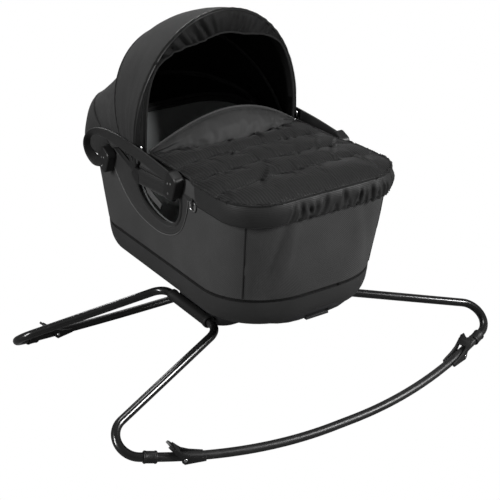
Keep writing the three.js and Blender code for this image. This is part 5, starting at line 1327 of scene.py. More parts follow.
# Rings
# Steel wire D-rings in sewn webbing tabs at both ends of each patch, for hanging toys.
RING_WIRE = 0.0024
RING_HALF = 0.011
RING_DROP = 0.019
TAB_HALF = 0.008
TAB_LONG = 0.030
TAB_THICK = 0.0026
tab_shares = [(0.0, 2 * TAB_LONG), (0.0, 0.018), (0.2, 0.006), (1.0, 0.0), (0.9, -0.004)]
RING_PLACES = {"foot": Vector((STAND_Y - 0.119, RIM_Z - 0.032)),
               "head": Vector((STAND_Y + 0.318, RIM_Z - 0.065))}
loop_shares = [(-1, 0), (-1, -0.3), (-0.86, -0.68), (-0.5, -0.92), (0, -1), (0.5, -0.92), (0.86, -0.68),
               (1, -0.3), (1, 0), (0.5, 0.04), (-0.5, 0.04)]
for side, hand in HANDS:
    for place, at in RING_PLACES.items():
        node = f"wire_ring_{place}_{hand}"
        low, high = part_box(node)
        x = (low[0] + high[0]) / 2
        path = smooth_run([Vector((x, at.x + a * RING_HALF, at.y - TAB_HALF + b * RING_DROP))
                           for a, b in loop_shares], 5, closed=True)
        ring = tube_along(f"ring_{place}_{hand}", path, RING_WIRE, sides=16, closed=True)
        fit_out(ring, body_of(node), "bright_steel", bright_steel, node)
        towards = 1.0 if place == "foot" else -1.0
        base = side * (side_x(at.y) + SURFACE_GAP + TAB_THICK / 2)
        out = abs(x) + RING_WIRE + 0.0006 - abs(base)
        middle_z = at.y - TAB_HALF
        route = [Vector((base + side * out * lift, at.x + towards * along, middle_z))
                 for lift, along in tab_shares]
        tab_path = smooth_run(route, 6)
        tab = flat_strap(f"ring_tab_{place}_{hand}", tab_path, [Vector((0, 0, 1))] * len(tab_path),
                         TAB_HALF * 1.7, TAB_THICK)
        fit_out(tab, "bassinet", "patch_fabric", border_black)

# Boot cover
# A quilted cover in ribbed cloth lies over the foot half of the tub: four padded rows sewn
# across it, a corded edge, and it fastens over the rim.
BOOT_HEAD_Y = STAND_Y + 0.028
BOOT_WIDE_Y = STAND_Y - 0.134
BOOT_JOG_Y = STAND_Y - 0.086
BOOT_THICK = 0.005
BOOT_SEAT = 0.0022
BOOT_CROWN = 0.012
BOOT_INSET = 0.004
BOOT_COLUMNS = 150
BOOT_ROWS = 132
BOOT_BEND_ROWS = 44
PUCKERS_A_SEAM = 7
SEAM_SUNK = 0.0030
BOOT_PRESSURE = 2.5
BOOT_CAP = 0.00625
BOOT_PUFF = 0.0109
BOOT_FOOT_Y = RIM_FOOT_Y - BOOT_SEAT - BOOT_THICK
EDGE_Z = RIM_Z + BOOT_SEAT + BOOT_THICK
RIB_PITCH = 0.0062
HEAD_SWEEP = 0.066
seam_shares = [0.0, 0.19, 0.44, 0.69, 1.0]
BOOT_LONG = BOOT_HEAD_Y - BOOT_FOOT_Y
BOOT_ROUND = RIM_CORNER + BOOT_SEAT + BOOT_THICK


def boot_half(y):
    """Half the cover's width: inside the rim at its head end, round the rim at its foot."""
    wide = RIM_HALF_W + BOOT_SEAT + BOOT_THICK
    narrow = RIM_HALF_W - BOOT_INSET
    t = min(max((BOOT_JOG_Y - y) / (BOOT_JOG_Y - BOOT_WIDE_Y), 0.0), 1.0)
    half = lerp(narrow, wide, t * t * (3 - 2 * t))
    rise = BOOT_FOOT_Y + BOOT_ROUND - y
    if rise <= 0:
        return half
    return half - BOOT_ROUND + math.sqrt(max(BOOT_ROUND * BOOT_ROUND - rise * rise, 0.0))


def boot_rows():
    """Rows along the cover, with one on every seam and finer steps round the foot corners."""
    bend = 1.0 - BOOT_ROUND / BOOT_LONG
    rows = [lerp(0.0, bend, k / BOOT_ROWS) for k in range(BOOT_ROWS)]
    rows += [lerp(bend, 1.0, math.sin(k / BOOT_BEND_ROWS * math.pi / 2))
             for k in range(BOOT_BEND_ROWS + 1)]
    for seam in seam_shares[1:-1]:
        nearest = min(range(len(rows)), key=lambda k: abs(rows[k] - seam))
        rows[nearest] = seam
    return rows


def boot_crown(across, share):
    """How far the cover stands over the rim, least at its sides and its foot end."""
    ends = min(1.0, (1.0 - share) * 9.0)
    return BOOT_CROWN * (1.0 - abs(across) ** 2.4) * ends


def head_sweep(across):
    """How far the cover's head edge runs back towards the head beside the flap."""
    return HEAD_SWEEP * abs(across) ** 2.3


random.seed(23)
puckers = []
for seam in seam_shares[:-1]:
    for place in range(PUCKERS_A_SEAM):
        puckers.append((lerp(-0.9, 0.9, (place + random.random()) / PUCKERS_A_SEAM),
                        seam + random.uniform(-0.02, 0.03),
                        random.uniform(-0.7, 0.45), random.uniform(0.012, 0.034),
                        random.uniform(0.0045, 0.0085),
                        random.choice((-1, 1)) * random.uniform(0.0042, 0.0096)))


def puckered(x, y):
    """Lift of the quilt's puckers, each a crease with a fold beside it that crosses a seam."""
    lift = 0.0
    for across, share, lean, long, wide, deep in puckers:
        dx, dy = x - across * RIM_HALF_W, y - (BOOT_HEAD_Y - share * BOOT_LONG)
        along, off = dy * math.cos(lean) - dx * math.sin(lean), dx * math.cos(lean) + dy * math.sin(lean)
        if abs(along) < long * 3 and abs(off) < wide * 4:
            lift += deep * math.exp(-(along / long) ** 2) * (off / wide) * 1.6 * math.exp(-(off / wide) ** 2)
    return lift


rows = boot_rows()
quilt_rings, pinned = [], []
for r, share in enumerate(rows):
    y = lerp(BOOT_HEAD_Y, BOOT_FOOT_Y + 0.0004, share)
    on_seam = any(abs(share - seam) < 1e-9 for seam in seam_shares)
    ring = []
    for c in range(BOOT_COLUMNS + 1):
        across = math.sin((c / BOOT_COLUMNS - 0.5) * math.pi)
        at = Vector((across * boot_half(y), y, EDGE_Z + boot_crown(across, share)))
        at.z += puckered(at.x, at.y) * (1 - across ** 8) * min(1.0, (1 - share) * 14)
        at.y += head_sweep(across) * max(0.0, 1.0 - share / 0.3) ** 1.6
        if on_seam and 0 < r < len(rows) - 1:
            at.z -= SEAM_SUNK
            at.y += 0.0011 * noise_at((across * 6.0, share * 9.0, 0.0), 1.0)
        ring.append(at)
        if on_seam or c in (0, BOOT_COLUMNS) or r in (0, len(rows) - 1):
            pinned.append(r * (BOOT_COLUMNS + 1) + c)
    quilt_rings.append(ring)
quilt = loft("boot_quilt", quilt_rings)
if sum(face.normal.z for face in quilt.data.polygons) < 0:
    quilt.data.flip_normals()
for corner in quilt.data.loops:
    place = quilt.data.vertices[corner.vertex_index].co
    quilt.data.uv_layers["cloth"].data[corner.index].uv = (place.x, place.y)
full = 0.85
for vertex in quilt.data.vertices:
    row, column = divmod(vertex.index, BOOT_COLUMNS + 1)
    share, across = rows[row], math.sin((column / BOOT_COLUMNS - 0.5) * math.pi)
    k = max(i for i, seam in enumerate(seam_shares[:-1]) if share >= seam - 1e-6)
    local = (share - seam_shares[k]) / (seam_shares[k + 1] - seam_shares[k])
    swell = max(math.sin(local * math.pi), 0.0) ** 0.6 * (1 - min(abs(across), 1.0) ** 6)
    vertex.co.z += full * BOOT_PUFF * swell
inflate(quilt, pinned, BOOT_PRESSURE, BOOT_CAP, grow=0.015, stiffness=14.0, bending=0.3)

# Ribs: rounded cords woven side by side along the cloth
rib_group, entry, leave = node_group(
    "ribs",
    [("Vector", "NodeSocketVector", None), ("Pitch", "NodeSocketFloat", 0.0046)],
    [("Height", "NodeSocketFloat"), ("Crest", "NodeSocketFloat")])
across_ribs = placed(rib_group, "ShaderNodeSeparateXYZ", {0: entry["Vector"]}).outputs["X"]
drift = maths(rib_group, "MULTIPLY", noise(rib_group, entry["Vector"], 30.0, 2.0), 0.5)
turns = maths(rib_group, "ADD", maths(rib_group, "DIVIDE", across_ribs, entry["Pitch"]), drift)
swing = maths(rib_group, "SINE", maths(rib_group, "MULTIPLY", turns, math.tau))
crest = spread(rib_group, swing, 0.0, 1.0, -1.0, 1.0)
feed(rib_group, leave["Crest"], crest)
feed(rib_group, leave["Height"], maths(rib_group, "POWER", crest, 0.7))


def ribbed_cloth(name, colour, pitch, depth, contrast=0.40):
    """Ribbed cloth: cords along its length with a fine weave over them, painted darker between the cords and
    lighter on their crests as painted shade and highlight.
    """
    material, shader, tree = start_material(name, colour, 0.56, specular=0.4)
    shader.inputs["Sheen Weight"].default_value = 0.06
    shader.inputs["Sheen Roughness"].default_value = 0.4
    weave_place = cloth_place(tree)
    ribs = use_group(tree, rib_group, weave_place, Pitch=pitch)
    twill = use_group(tree, twill_group, weave_place, Pitch=pitch * 0.3)
    mottle = use_group(tree, mottle_group, own_place(tree), Slow_Scale=8.0, Fine_Scale=FLUFF_SCALE, Amount=0.1)
    # Painted shade and highlight: darker in the grooves between the cords, lighter on their crests, by the
    # contrast given.
    crest = spread(tree, ribs["Crest"], 1.0 - contrast, 1.0 + contrast)
    tinted(tree, colour, maths(tree, "MULTIPLY", mottle["Factor"], crest), shader)
    feed(tree, shader.inputs["Roughness"], spread(tree, ribs["Crest"], 0.7, 0.48))
    height = maths(tree, "ADD", maths(tree, "MULTIPLY", ribs["Height"], 0.85),
                   maths(tree, "MULTIPLY", twill["Height"], 0.15))
    bump(tree, height, depth, shader)
    return material


# The cover's top gets a much darker tone of the same ribbed cloth as the skirt, as painted shade on the top.
quilt_ribs = ribbed_cloth("quilt_ribs", tone(28), RIB_PITCH, 0.0008)
seam_paths = {}
columns = BOOT_COLUMNS + 1
for number, seam in enumerate(seam_shares[1:-1], 1):
    r = min(range(len(rows)), key=lambda k: abs(rows[k] - seam))
    seam_paths[number] = [quilt.data.vertices[r * columns + c].co.copy() for c in range(3, BOOT_COLUMNS - 2)]
edge_left = [quilt.data.vertices[r * columns].co.copy() for r in range(len(rows))]
edge_foot = [quilt.data.vertices[(len(rows) - 1) * columns + c].co.copy() for c in range(1, BOOT_COLUMNS)]
edge_right = [quilt.data.vertices[r * columns + BOOT_COLUMNS].co.copy() for r in reversed(range(len(rows)))]
quilt_edge = edge_left + edge_foot + edge_right
body = quilt.modifiers.new("thickness", "SOLIDIFY")
body.thickness = BOOT_THICK * 0.8
body.offset = -1.0
settle(quilt)
fit_out(crisp(quilt, 70.0), "bassinet", "quilt_fabric", quilt_ribs, "boot_cover")
for number, path in seam_paths.items():
    lifted = [p + Vector((0, 0, 0.0003)) for p in path]
    sunk = tube_along(f"quilt_seam_{number}", [p + Vector((0, 0, 0.0005)) for p in path[::2]], 0.0021, sides=8)
    fit_out(sunk, "bassinet", "quilt_fabric", seam_black)
    stitch_row(f"quilt_stitches_{number}", lifted, "bassinet", seam_black, "quilt_fabric",
               step=0.0034, thick=0.0009)

# Corded edge of the boot cover
# A cord bound in the same cloth runs round the quilt's edge, where the skirt is sewn on.
EDGE_CORD_R = 0.0027
EDGE_CORD_SUNK = 0.0004
cord_path = [p - Vector((0, 0, EDGE_CORD_SUNK)) for p in quilt_edge[::2]]
edge_cord = tube_along("boot_edge_cord", cord_path, EDGE_CORD_R, sides=12)
fit_out(edge_cord, "bassinet", "quilt_fabric", tape_black)

# Skirt of the boot cover
# A deep hem of the same ribbed cloth hangs from the cord round the tub's foot end; an elastic
# in its lower edge gathers it, most on the right.
SKIRT_DEEP = 0.043
SKIRT_ROWS = 20
SKIRT_TURN_STEPS = 32
SKIRT_STEP = 0.0021
SKIRT_PUFF = 0.0042
SKIRT_THICK = 0.0014
SKIRT_HEM_R = 0.0015


def skirt_line():
    """The skirt's run round the foot end, from the left side to the right, in even steps."""
    wide = RIM_HALF_W + BOOT_SEAT + BOOT_THICK
    line = [Vector((-wide, BOOT_WIDE_Y, 0.0))]
    for side, quarter in ((-1, 2), (1, 3)):
        for k in range(SKIRT_TURN_STEPS + 1):
            a = (quarter + k / SKIRT_TURN_STEPS) * math.pi / 2
            line.append(Vector((side * (wide - BOOT_ROUND) + BOOT_ROUND * math.cos(a),
                                BOOT_FOOT_Y + BOOT_ROUND + BOOT_ROUND * math.sin(a), 0.0)))
    return line + [Vector((wide, BOOT_WIDE_Y, 0.0))]


random.seed(41)
skirt_creases, place = [], 0.37
while place < 0.95:
    weight = min((place - 0.34) / 0.08, 1.0) * (1.0 if place < 0.8 else 0.6)
    skirt_creases.append((place, weight * random.uniform(0.0035, 0.0085), random.uniform(0.0035, 0.0075),
                          random.uniform(-0.022, 0.012), random.uniform(0.35, 1.0)))
    place += random.uniform(0.014, 0.042)


def gather_at(share, down):
    """Lift of the skirt's gathers: slanted creases from the elastic up, with swells between."""
    swell = 0.0022 * noise_at((share * 26.0, down * 1.6, 3.0), 1.0, 2.0)
    lift = swell * min(max((share - 0.3) / 0.1, 0.15), 1.0)
    for place, depth, width, lean, reach in skirt_creases:
        off = abs(share - place - lean * (down - 0.6)) / width
        if off < 5:
            fade = min(max((down - 1.0 + reach) / 0.3, 0.0), 1.0)
            lift += depth * fade * (0.45 * math.exp(-((off - 1.9) / 1.1) ** 2) - math.exp(-off ** 1.4))
    return lift


def along_run(route, share):
    """The point a share of the way along a polyline."""
    steps = [(b - a).length for a, b in zip(route, route[1:])]
    rest = share * sum(steps)
    for k, step in enumerate(steps):
        if rest <= step or k == len(steps) - 1:
            return route[k].lerp(route[k + 1], min(rest / step, 1.0))
        rest -= step
    return route[-1]


def lined(piece, thick, outer, inner):
    """Gives an open sheet its thickness, with one cloth outside and another inside."""
    piece.data.materials.append(outer)
    piece.data.materials.append(inner)
    shell = piece.modifiers.new("thickness", "SOLIDIFY")
    shell.thickness = thick
    shell.offset = -1.0
    shell.use_even_offset = True
    shell.material_offset = 1
    settle(piece)
    return piece


def facing_out(piece, centre):
    """Turns an open sheet over if its faces look towards a centre."""
    total = sum(((face.center - centre).dot(face.normal) for face in piece.data.polygons), 0.0)
    if total < 0:
        piece.data.flip_normals()
    return piece


skirt_base = skirt_line()
skirt_length = sum((b - a).length for a, b in zip(skirt_base, skirt_base[1:]))
skirt_columns = int(skirt_length / SKIRT_STEP)
skirt_rows = []
for r in range(SKIRT_ROWS + 1):
    down = r / SKIRT_ROWS
    row = []
    for c in range(skirt_columns + 1):
        share = c / skirt_columns
        base = along_run(skirt_base, share)
        ahead = along_run(skirt_base, min(share + 0.004, 1.0))
        along = (ahead - along_run(skirt_base, max(share - 0.004, 0.0))).normalized()
        out = Vector((along.y, -along.x, 0.0))
        belly = math.sin(math.pi * down ** 0.8)
        lift = SKIRT_PUFF * belly * (0.5 + 0.5 * min(share * 3, 1.0))
        lift += gather_at(share, down) * (0.35 + 0.65 * belly)
        lift -= 0.0028 * down ** 3 + 0.004 * down ** 2 * min(max((share - 0.78) / 0.08, 0.0), 1.0)
        scallop = -0.45 * gather_at(share, 1.0) * down
        z = lerp(EDGE_Z - 0.0012, RIM_Z - SKIRT_DEEP, down) + scallop
        if z > RIM_Z - SKIRT_DEEP + 0.004:
            lift = max(lift, -0.0012)
        row.append(Vector((base.x, base.y, z)) + out * lift)
    skirt_rows.append(row)
skirt = facing_out(loft("boot_skirt", skirt_rows), Vector((0.0, BOOT_FOOT_Y + 0.2, RIM_Z)))
skirt_uv = skirt.data.uv_layers["cloth"].data
for corner in skirt_uv:
    corner.uv = (corner.uv[1], corner.uv[0])
skirt_ribs = ribbed_cloth("skirt_ribs", tone(42), RIB_PITCH * 0.6, 0.0002, contrast=0.12)
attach(lined(skirt, SKIRT_THICK, skirt_ribs, tape_black), "bassinet")
hem_path = [row_point + Vector((0, 0, -0.0003)) for row_point in skirt_rows[-1][::2]]
hem = tube_along("skirt_hem", hem_path, SKIRT_HEM_R, sides=8)
fit_out(hem, "bassinet", "quilt_fabric", tape_black)

# Flap
# A padded wind flap stands at the head end of the cover and leans back over the baby's chest;
# its edge is bound in a smooth tape.
FLAP_HIGH = 0.062
FLAP_BACK = 0.040
FLAP_THICK = 0.011
FLAP_HALF_W = RIM_HALF_W - 0.005
FLAP_COLUMNS = 120
FLAP_STATIONS = 22
FLAP_PRESSURE = 1.5
FLAP_CAP = 0.003
BINDING_R = 0.0030
BINDING_STEPS = 120
BINDING_END = 0.985


def flap_line(across, t):
    """The flap's middle surface: across from -1 to 1, up from 0 to 1."""
    full = 1.0 - across ** 2
    high = FLAP_HIGH * full ** 1.15 + 0.005
    base = RIM_Z + BOOT_SEAT + BOOT_CROWN * (1.0 - abs(across) ** 2.4)
    y = BOOT_HEAD_Y + head_sweep(across) + RUN_GAP + FLAP_THICK * 0.375
    return Vector((across * FLAP_HALF_W, y + FLAP_BACK * full ** 0.8 * t * (0.5 + 0.5 * t), base + high * t))


def flap_folds(across, t):
    """Creases that run in from the flap's ends, and a few soft dents along its top."""
    end = math.exp(-(1.0 - abs(across)) / 0.24)
    fan = math.sin(t * 16.0 - (1.0 - abs(across)) * 8.0 + (1.1 if across > 0 else 0.0))
    fan = math.copysign(abs(fan) ** 0.7, fan)
    dents = 0.0020 * noise_at((across * 6.0, t * 2.2, 1.0), 1.0, 2.0)
    dents += 0.0012 * noise_at((across * 15.0, t * 3.0, 4.0), 1.0)
    return end * fan * 0.0082 * (1.0 - abs(across) ** 12) + dents


flap_rings, flap_pins = [], []
for c in range(FLAP_COLUMNS + 1):
    across = math.sin((c / FLAP_COLUMNS - 0.5) * math.pi * 0.999)
    if c in (0, FLAP_COLUMNS):
        across = math.copysign(0.9999, across)
    ring = []
    for k in range(FLAP_STATIONS * 2):
        front = k < FLAP_STATIONS
        t = k / (FLAP_STATIONS - 1) if front else (2 * FLAP_STATIONS - 1 - k) / (FLAP_STATIONS - 1)
        thick = FLAP_THICK * (0.72 + 0.28 * math.sin(math.pi * min(t * 1.3, 1.0))) * (1.0 - 0.62 * t ** 5)
        thick *= 0.55 + 0.45 * (1 - abs(across) ** 6)
        at = flap_line(across, t)
        fold = flap_folds(across, t) * math.sin(math.pi * min(max(t, 0.03), 0.97))
        tip = (1.0 - 0.5 * t ** 8)
        at.y += (-1 if front else 1) * thick / 2 * tip - (fold if front else -fold * 0.3)
        at.z += (thick / 4 if front else -thick / 4 * t)
        ring.append(at)
        if t < 0.02 or t > 0.985 or c in (0, FLAP_COLUMNS):
            flap_pins.append(c * FLAP_STATIONS * 2 + k)
    flap_rings.append(ring)
flap = outward(loft("wind_flap", flap_rings, around=True, capped=True))
inflate(flap, flap_pins, FLAP_PRESSURE, FLAP_CAP, grow=0.02, stiffness=14.0, bending=0.3)
flap_cloth = woven_cloth("flap_twill", tone(44), 0.0026, 0.0003, roughness=0.6, contrast=0.12,
                         amount=0.14, on_uv=False, specular=0.5)
fit_out(crisp(flap, 70.0), "bassinet", "quilt_fabric", flap_cloth, "boot_flap")
binding_path, under_path = [], []
for k in range(BINDING_STEPS + 1):
    across = lerp(-BINDING_END, BINDING_END, k / BINDING_STEPS)
    top = flap_line(across, 1.0)
    binding_path.append(top + Vector((0, 0.0006, 0.0006)))
    under_path.append(flap_line(across, 0.9) + Vector((0, -FLAP_THICK * 0.46, 0.0026)))
binding = tube_along("flap_binding", binding_path, BINDING_R, sides=12)
binding_tape = woven_cloth("binding_tape", tone(72), 0.0011, 0.0001, roughness=0.6)
fit_out(binding, "bassinet", "quilt_fabric", binding_tape)
stitch_row("flap_stitches", under_path, "bassinet", seam_black, "quilt_fabric", thick=0.0012)

# Canopy pivots and bows
# Three flat springy nylon bows turn on a riveted pin through each side of the tub and hold the
# canopy's cloth; the two front ones fold back together.
ARC_STEPS = 96
BOW_LEG_SHARE = 0.12
BOW_THICK = 0.003
BOW_WIDE = 0.014
BOW_GAP = 0.0004
BOW_HUB_R = 0.012
PIVOT_Y = STAND_Y + 0.140
PIVOT_Z = RIM_Z - 0.052
PIVOT_EDGE = 0.0006
first_half_w = side_x(PIVOT_Z - BOW_HUB_R) + 2 * SURFACE_GAP + PATCH_THICK + BOW_GAP + BOW_THICK / 2


def arch_line(order, radius, degrees, leg):
    """A bow's middle line: its place outwards in the pivot's stack, reach, lean and straight leg."""
    return {"half_w": first_half_w + order * (BOW_THICK + BOW_GAP), "radius": radius,
            "lean": math.radians(degrees), "leg": leg}


REAR_LINE = arch_line(0, 0.368, 71.5, 0.172)
MID_LINE = arch_line(1, 0.341, 36.1, 0.078)
FRONT_LINE = arch_line(2, 0.363, -8.0, 0.084)
hood_middle = Vector((0.0, PIVOT_Y, PIVOT_Z))


def arch_point(share, line, lean=None):
    """A point of an arch: straight legs from the pivots, then half an ellipse, all leaning back."""
    from_end = min(share, 1.0 - share)
    side = -1.0 if share < 0.5 else 1.0
    x, reach = side * line["half_w"], line["leg"] * from_end / BOW_LEG_SHARE
    if from_end > BOW_LEG_SHARE:
        angle = (from_end - BOW_LEG_SHARE) / (0.5 - BOW_LEG_SHARE) * math.pi / 2
        x = side * line["half_w"] * math.cos(angle)
        reach = line["leg"] + (line["radius"] - line["leg"]) * math.sin(angle)
    lean = line["lean"] if lean is None else lean
    return Vector((x, PIVOT_Y + reach * math.sin(lean), PIVOT_Z + reach * math.cos(lean)))


def grown(line, by):
    """An arch made larger all round."""
    return {**line, "half_w": line["half_w"] + by, "radius": line["radius"] + by}


def between(a, b, t):
    """An arch part of the way from one arch to another."""
    return {key: lerp(a[key], b[key], t) for key in a}


def arc_shares(start, steps=ARC_STEPS):
    """Even shares along an arch, from a start on the left to as far from its end on the right."""
    return [lerp(start, 1.0 - start, k / steps) for k in range(steps + 1)]


for place, line in (("rear", REAR_LINE), ("middle", MID_LINE), ("front", FRONT_LINE)):
    node = f"canopy_bow_{place}"
    face = Vector((0.0, math.cos(line["lean"]), -math.sin(line["lean"]))) * (BOW_WIDE / 2)
    rings = []
    for share in arc_shares(0.0):
        inner = arch_point(share, grown(line, -BOW_THICK / 2))
        outer = arch_point(share, grown(line, BOW_THICK / 2))
        rings.append([inner - face * 0.8, inner + face * 0.8, inner.lerp(outer, 0.3) + face,
                      inner.lerp(outer, 0.7) + face, outer + face * 0.8, outer - face * 0.8,
                      inner.lerp(outer, 0.7) - face, inner.lerp(outer, 0.3) - face])
    bow = outward(loft(f"{node}_strip", rings, around=True, capped=True))
    fit_out(crisp(bow, 50.0), body_of(node), "black_plastic", black_nylon, node)
    eyes = [(Vector((side * line["half_w"], PIVOT_Y, PIVOT_Z)), Vector((side, 0, 0))) for side in (-1, 1)]
    domed_heads(f"{node}_eyes", eyes, BOW_HUB_R, BOW_THICK * 0.52, body_of(node), black_nylon, "black_plastic")
for hand in ("left", "right"):
    moulded(f"canopy_pivot_{hand}", PIVOT_EDGE, black_nylon)

# Canopy cloth
# Three sewn panels of black twill over the bows, cut flat over each bow and hollow between
# them, with a corded seam on every bow and a dark lining inside.
CLOTH = 0.0016
CLOTH_LIFT = BOW_THICK / 2 + 0.0012
CLOTH_START_SHARE = 0.075
REAR_CLOTH_START_SHARE = 0.084
CLOTH_HALF_W = first_half_w + 2 * (BOW_THICK + BOW_GAP) + CLOTH_LIFT
PANEL_ROWS = 30
SEAM_HALF = 0.00035
REAR_SEAM_PULL = math.radians(7.0)


def cloth_line(line, seam=0.0):
    """Where cloth lies over a bow, a little to one side of the seam there."""
    radius = line["radius"] + CLOTH_LIFT
    return {"half_w": CLOTH_HALF_W, "radius": radius, "lean": line["lean"] + seam * SEAM_HALF / radius,
            "leg": line["leg"]}


def ease(value, low, high):
    """Nought below low, one above high, and a smooth step between."""
    t = min(max((value - low) / (high - low), 0.0), 1.0)
    return t * t * (3 - 2 * t)


def rear_pull(share):
    """How far the rear seam is drawn forward of its bow low down on both sides."""
    from_end = min(share, 1.0 - share)
    return REAR_SEAM_PULL * ease(from_end, 0.08, 0.13) * (1.0 - ease(from_end, 0.2, 0.37))


def drag_folds(share, t, seed):
    """Folds that fan up from the panel's low corners, where the cloth gathers at the pivots."""
    from_end = min(share, 1.0 - share)
    fade = math.exp(-max(from_end - 0.09, 0.0) / 0.1)
    wave = math.sin(t * 13.0 + seed * 2.0 + from_end * 24.0) * 0.6
    wave += math.sin(t * 24.0 + seed + from_end * 9.0) * 0.4
    return fade * wave * 0.0036 * math.sin(math.pi * t)


def arch_panel(name, start, stop, begin, seed, hollow, pull=None):
    """A thin panel between two arches, hollow between the bows and puckered along its seams."""
    rows = []
    for r in range(PANEL_ROWS + 1):
        t = r / PANEL_ROWS
        row = []
        for share in arc_shares(begin):
            line = between(start, stop, t)
            if pull:
                line["lean"] -= pull(share) * (1.0 - t)
            sag = hollow * math.sin(t * math.pi) ** 0.9 * ease(min(share, 1.0 - share), 0.1, 0.24)
            point = arch_point(share, line)
            pucker = 0.0009 * math.sin(share * 310.0 + seed) * math.exp(-min(t, 1 - t) * 22.0)
            soft = 0.0026 * noise_at(point, 9.0, seed) + 0.0010 * noise_at(point, 26.0, seed + 4.0)
            line = grown(line, -sag + pucker + soft * math.sin(t * math.pi) + drag_folds(share, t, seed))
            row.append(arch_point(share, line))
        rows.append(row)
    return loft(name, rows)


canopy_twill = woven_cloth("canopy_twill", tone(54), 0.0042, 0.00045, contrast=0.24, amount=0.13)
lining_black = woven_cloth("lining_black", tone(26), 0.0014, 0.0001, sheen=0.0, contrast=0.05, specular=0.1)
front_panel = facing_out(arch_panel("hood_front_panel", cloth_line(MID_LINE, -1), cloth_line(FRONT_LINE),
                                    CLOTH_START_SHARE, 1.0, 0.012), hood_middle)
lined(front_panel, CLOTH, canopy_twill, lining_black)
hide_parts("canopy_panel_front")
tuple(arch_point(0.5, FRONT_LINE))
tuple(arch_point(0.5, MID_LINE))
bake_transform(front_panel)
middle_panel = facing_out(arch_panel("hood_middle_panel", cloth_line(REAR_LINE, -1), cloth_line(MID_LINE, 1),
                                     CLOTH_START_SHARE, 2.0, 0.024, rear_pull), hood_middle)
lined(middle_panel, CLOTH, canopy_twill, lining_black)
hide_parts("canopy_panel_middle")
tuple(arch_point(0.5, MID_LINE))
tuple(arch_point(0.5, REAR_LINE))
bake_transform(middle_panel)

# Rear panel of the canopy
# A softly padded panel closes the hood from the rear bow down to the tub's head end, where an
# elastic draws its hem over the rim.
HEM_DROP = 0.014
HEM_DIP = 0.040
HEM_CLEAR = 0.0026
HEM_SWELL = 0.016
HEM_CORD_R = 0.0026
REAR_BULGE = 0.013
REAR_ROWS = 24
REAR_START_Y = PIVOT_Y + REAR_LINE["leg"] * math.sin(REAR_LINE["lean"]) * REAR_CLOTH_START_SHARE / BOW_LEG_SHARE


def hem_route():
    """The hem's run over the rim, from the left side round the head end to the right."""
    ring = []
    for p in outline(RIM_Z, -HEM_CLEAR):
        if p.y > REAR_START_Y:
            corner = Vector((p.x, p.y - REAR_START_Y - 0.04, 0.0)).normalized()
            swell = ease(p.y - REAR_START_Y, 0.0, 0.09) * ease(abs(p.x), 0.02, 0.14)
            ring.append(p + corner * HEM_SWELL * swell)
    left = sorted([p for p in ring if p.x <= 0], key=lambda p: math.atan2(p.x, p.y - REAR_START_Y))
    right = sorted([p for p in ring if p.x > 0], key=lambda p: math.atan2(p.x, p.y - REAR_START_Y))
    run = left + right
    run = [Vector((run[0].x, REAR_START_Y, 0.0))] + run + [Vector((run[-1].x, REAR_START_Y, 0.0))]
    return [Vector((p.x, p.y, RIM_Z - HEM_DROP - HEM_DIP * ease(p.y - REAR_START_Y, 0.02, 0.07))) for p in run]


hem_line = hem_route()
top_line = cloth_line(REAR_LINE, 1)
rear_rows = []
for r in range(REAR_ROWS + 1):
    t = r / REAR_ROWS
    row = []
    for share in arc_shares(REAR_CLOTH_START_SHARE):
        round_share = (share - REAR_CLOTH_START_SHARE) / (1 - 2 * REAR_CLOTH_START_SHARE)
        point = arch_point(share, top_line, top_line["lean"] - rear_pull(share))
        point = point.lerp(along_run(hem_line, round_share), t)
        away = Vector((point.x * 0.9, point.y - PIVOT_Y - 0.1, 0.04)).normalized()
        inside = ease(min(round_share, 1 - round_share), 0.0, 0.12)
        swell = REAR_BULGE * math.sin(min(t, 0.999) * math.pi) ** 0.55 * inside
        gather = 0.0018 * math.sin(round_share * 150.0 + 3.0 * noise_at(point, 12.0, 9.0)) * t ** 3
        soft = 0.0030 * noise_at(point, 11.0, 6.0) * math.sin(t * math.pi)
        row.append(point + away * (swell + gather + soft))
    rear_rows.append(row)
rear_panel = facing_out(loft("hood_rear_panel", rear_rows), hood_middle)
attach(lined(rear_panel, CLOTH, canopy_twill, lining_black), "bassinet")
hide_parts("canopy_panel_rear")
hem_cord = tube_along("hood_hem", rear_rows[-1][::2], HEM_CORD_R, sides=10)
fit_out(hem_cord, "bassinet", "canopy_fabric", seam_black)

# Seams of the canopy
# A cord is sewn into the seam on each bow with a row of stitches on both sides.
WELT_R = 0.0015
STITCH_LEAN = 0.012
STITCH_COUNT = 160
for which, line, body, begin, pull in (("middle", MID_LINE, "canopy_middle", CLOTH_START_SHARE, None),
                                       ("rear", REAR_LINE, "bassinet", REAR_CLOTH_START_SHARE, rear_pull)):
    on_bow = cloth_line(line)
    leans = [on_bow["lean"] - (pull(share) if pull else 0.0) for share in arc_shares(begin)]
    path = [arch_point(share, grown(on_bow, 0.0003), lean) for share, lean in zip(arc_shares(begin), leans)]
    cord = tube_along(f"hood_seam_{which}", path, WELT_R, sides=10)
    fit_out(cord, body, "canopy_fabric", seam_black)
    for step, beside in ((-STITCH_LEAN, "fore"), (STITCH_LEAN, "aft")):
        path = []
        for share in arc_shares(begin + 0.005, steps=STITCH_COUNT):
            lean = on_bow["lean"] - (pull(share) if pull else 0.0) + step
            path.append(arch_point(share, grown(on_bow, -0.0004), lean))
        stitch_row(f"hood_stitches_{beside}_{which}", path, body, seam_black, "canopy_fabric")

# Brim
# The front edge turns forward off the front bow and in again as a soft rolled brim, deepest at
# the top, where an elastic in its edge gathers it.
BRIM_ROWS = 22
BRIM_STEPS = 170
BRIM_THICK = 0.0026
BRIM_HEM_R = 0.0021
FACING_THICK = 0.0012
BRIM_LOW, BRIM_MIDDLE, BRIM_TOP = (0.024, 0.020), (0.007, 0.008), (0.013, 0.052)
FACING_START = 0.15
FACING_BACK, FACING_LIFT = math.radians(5.0), 0.012


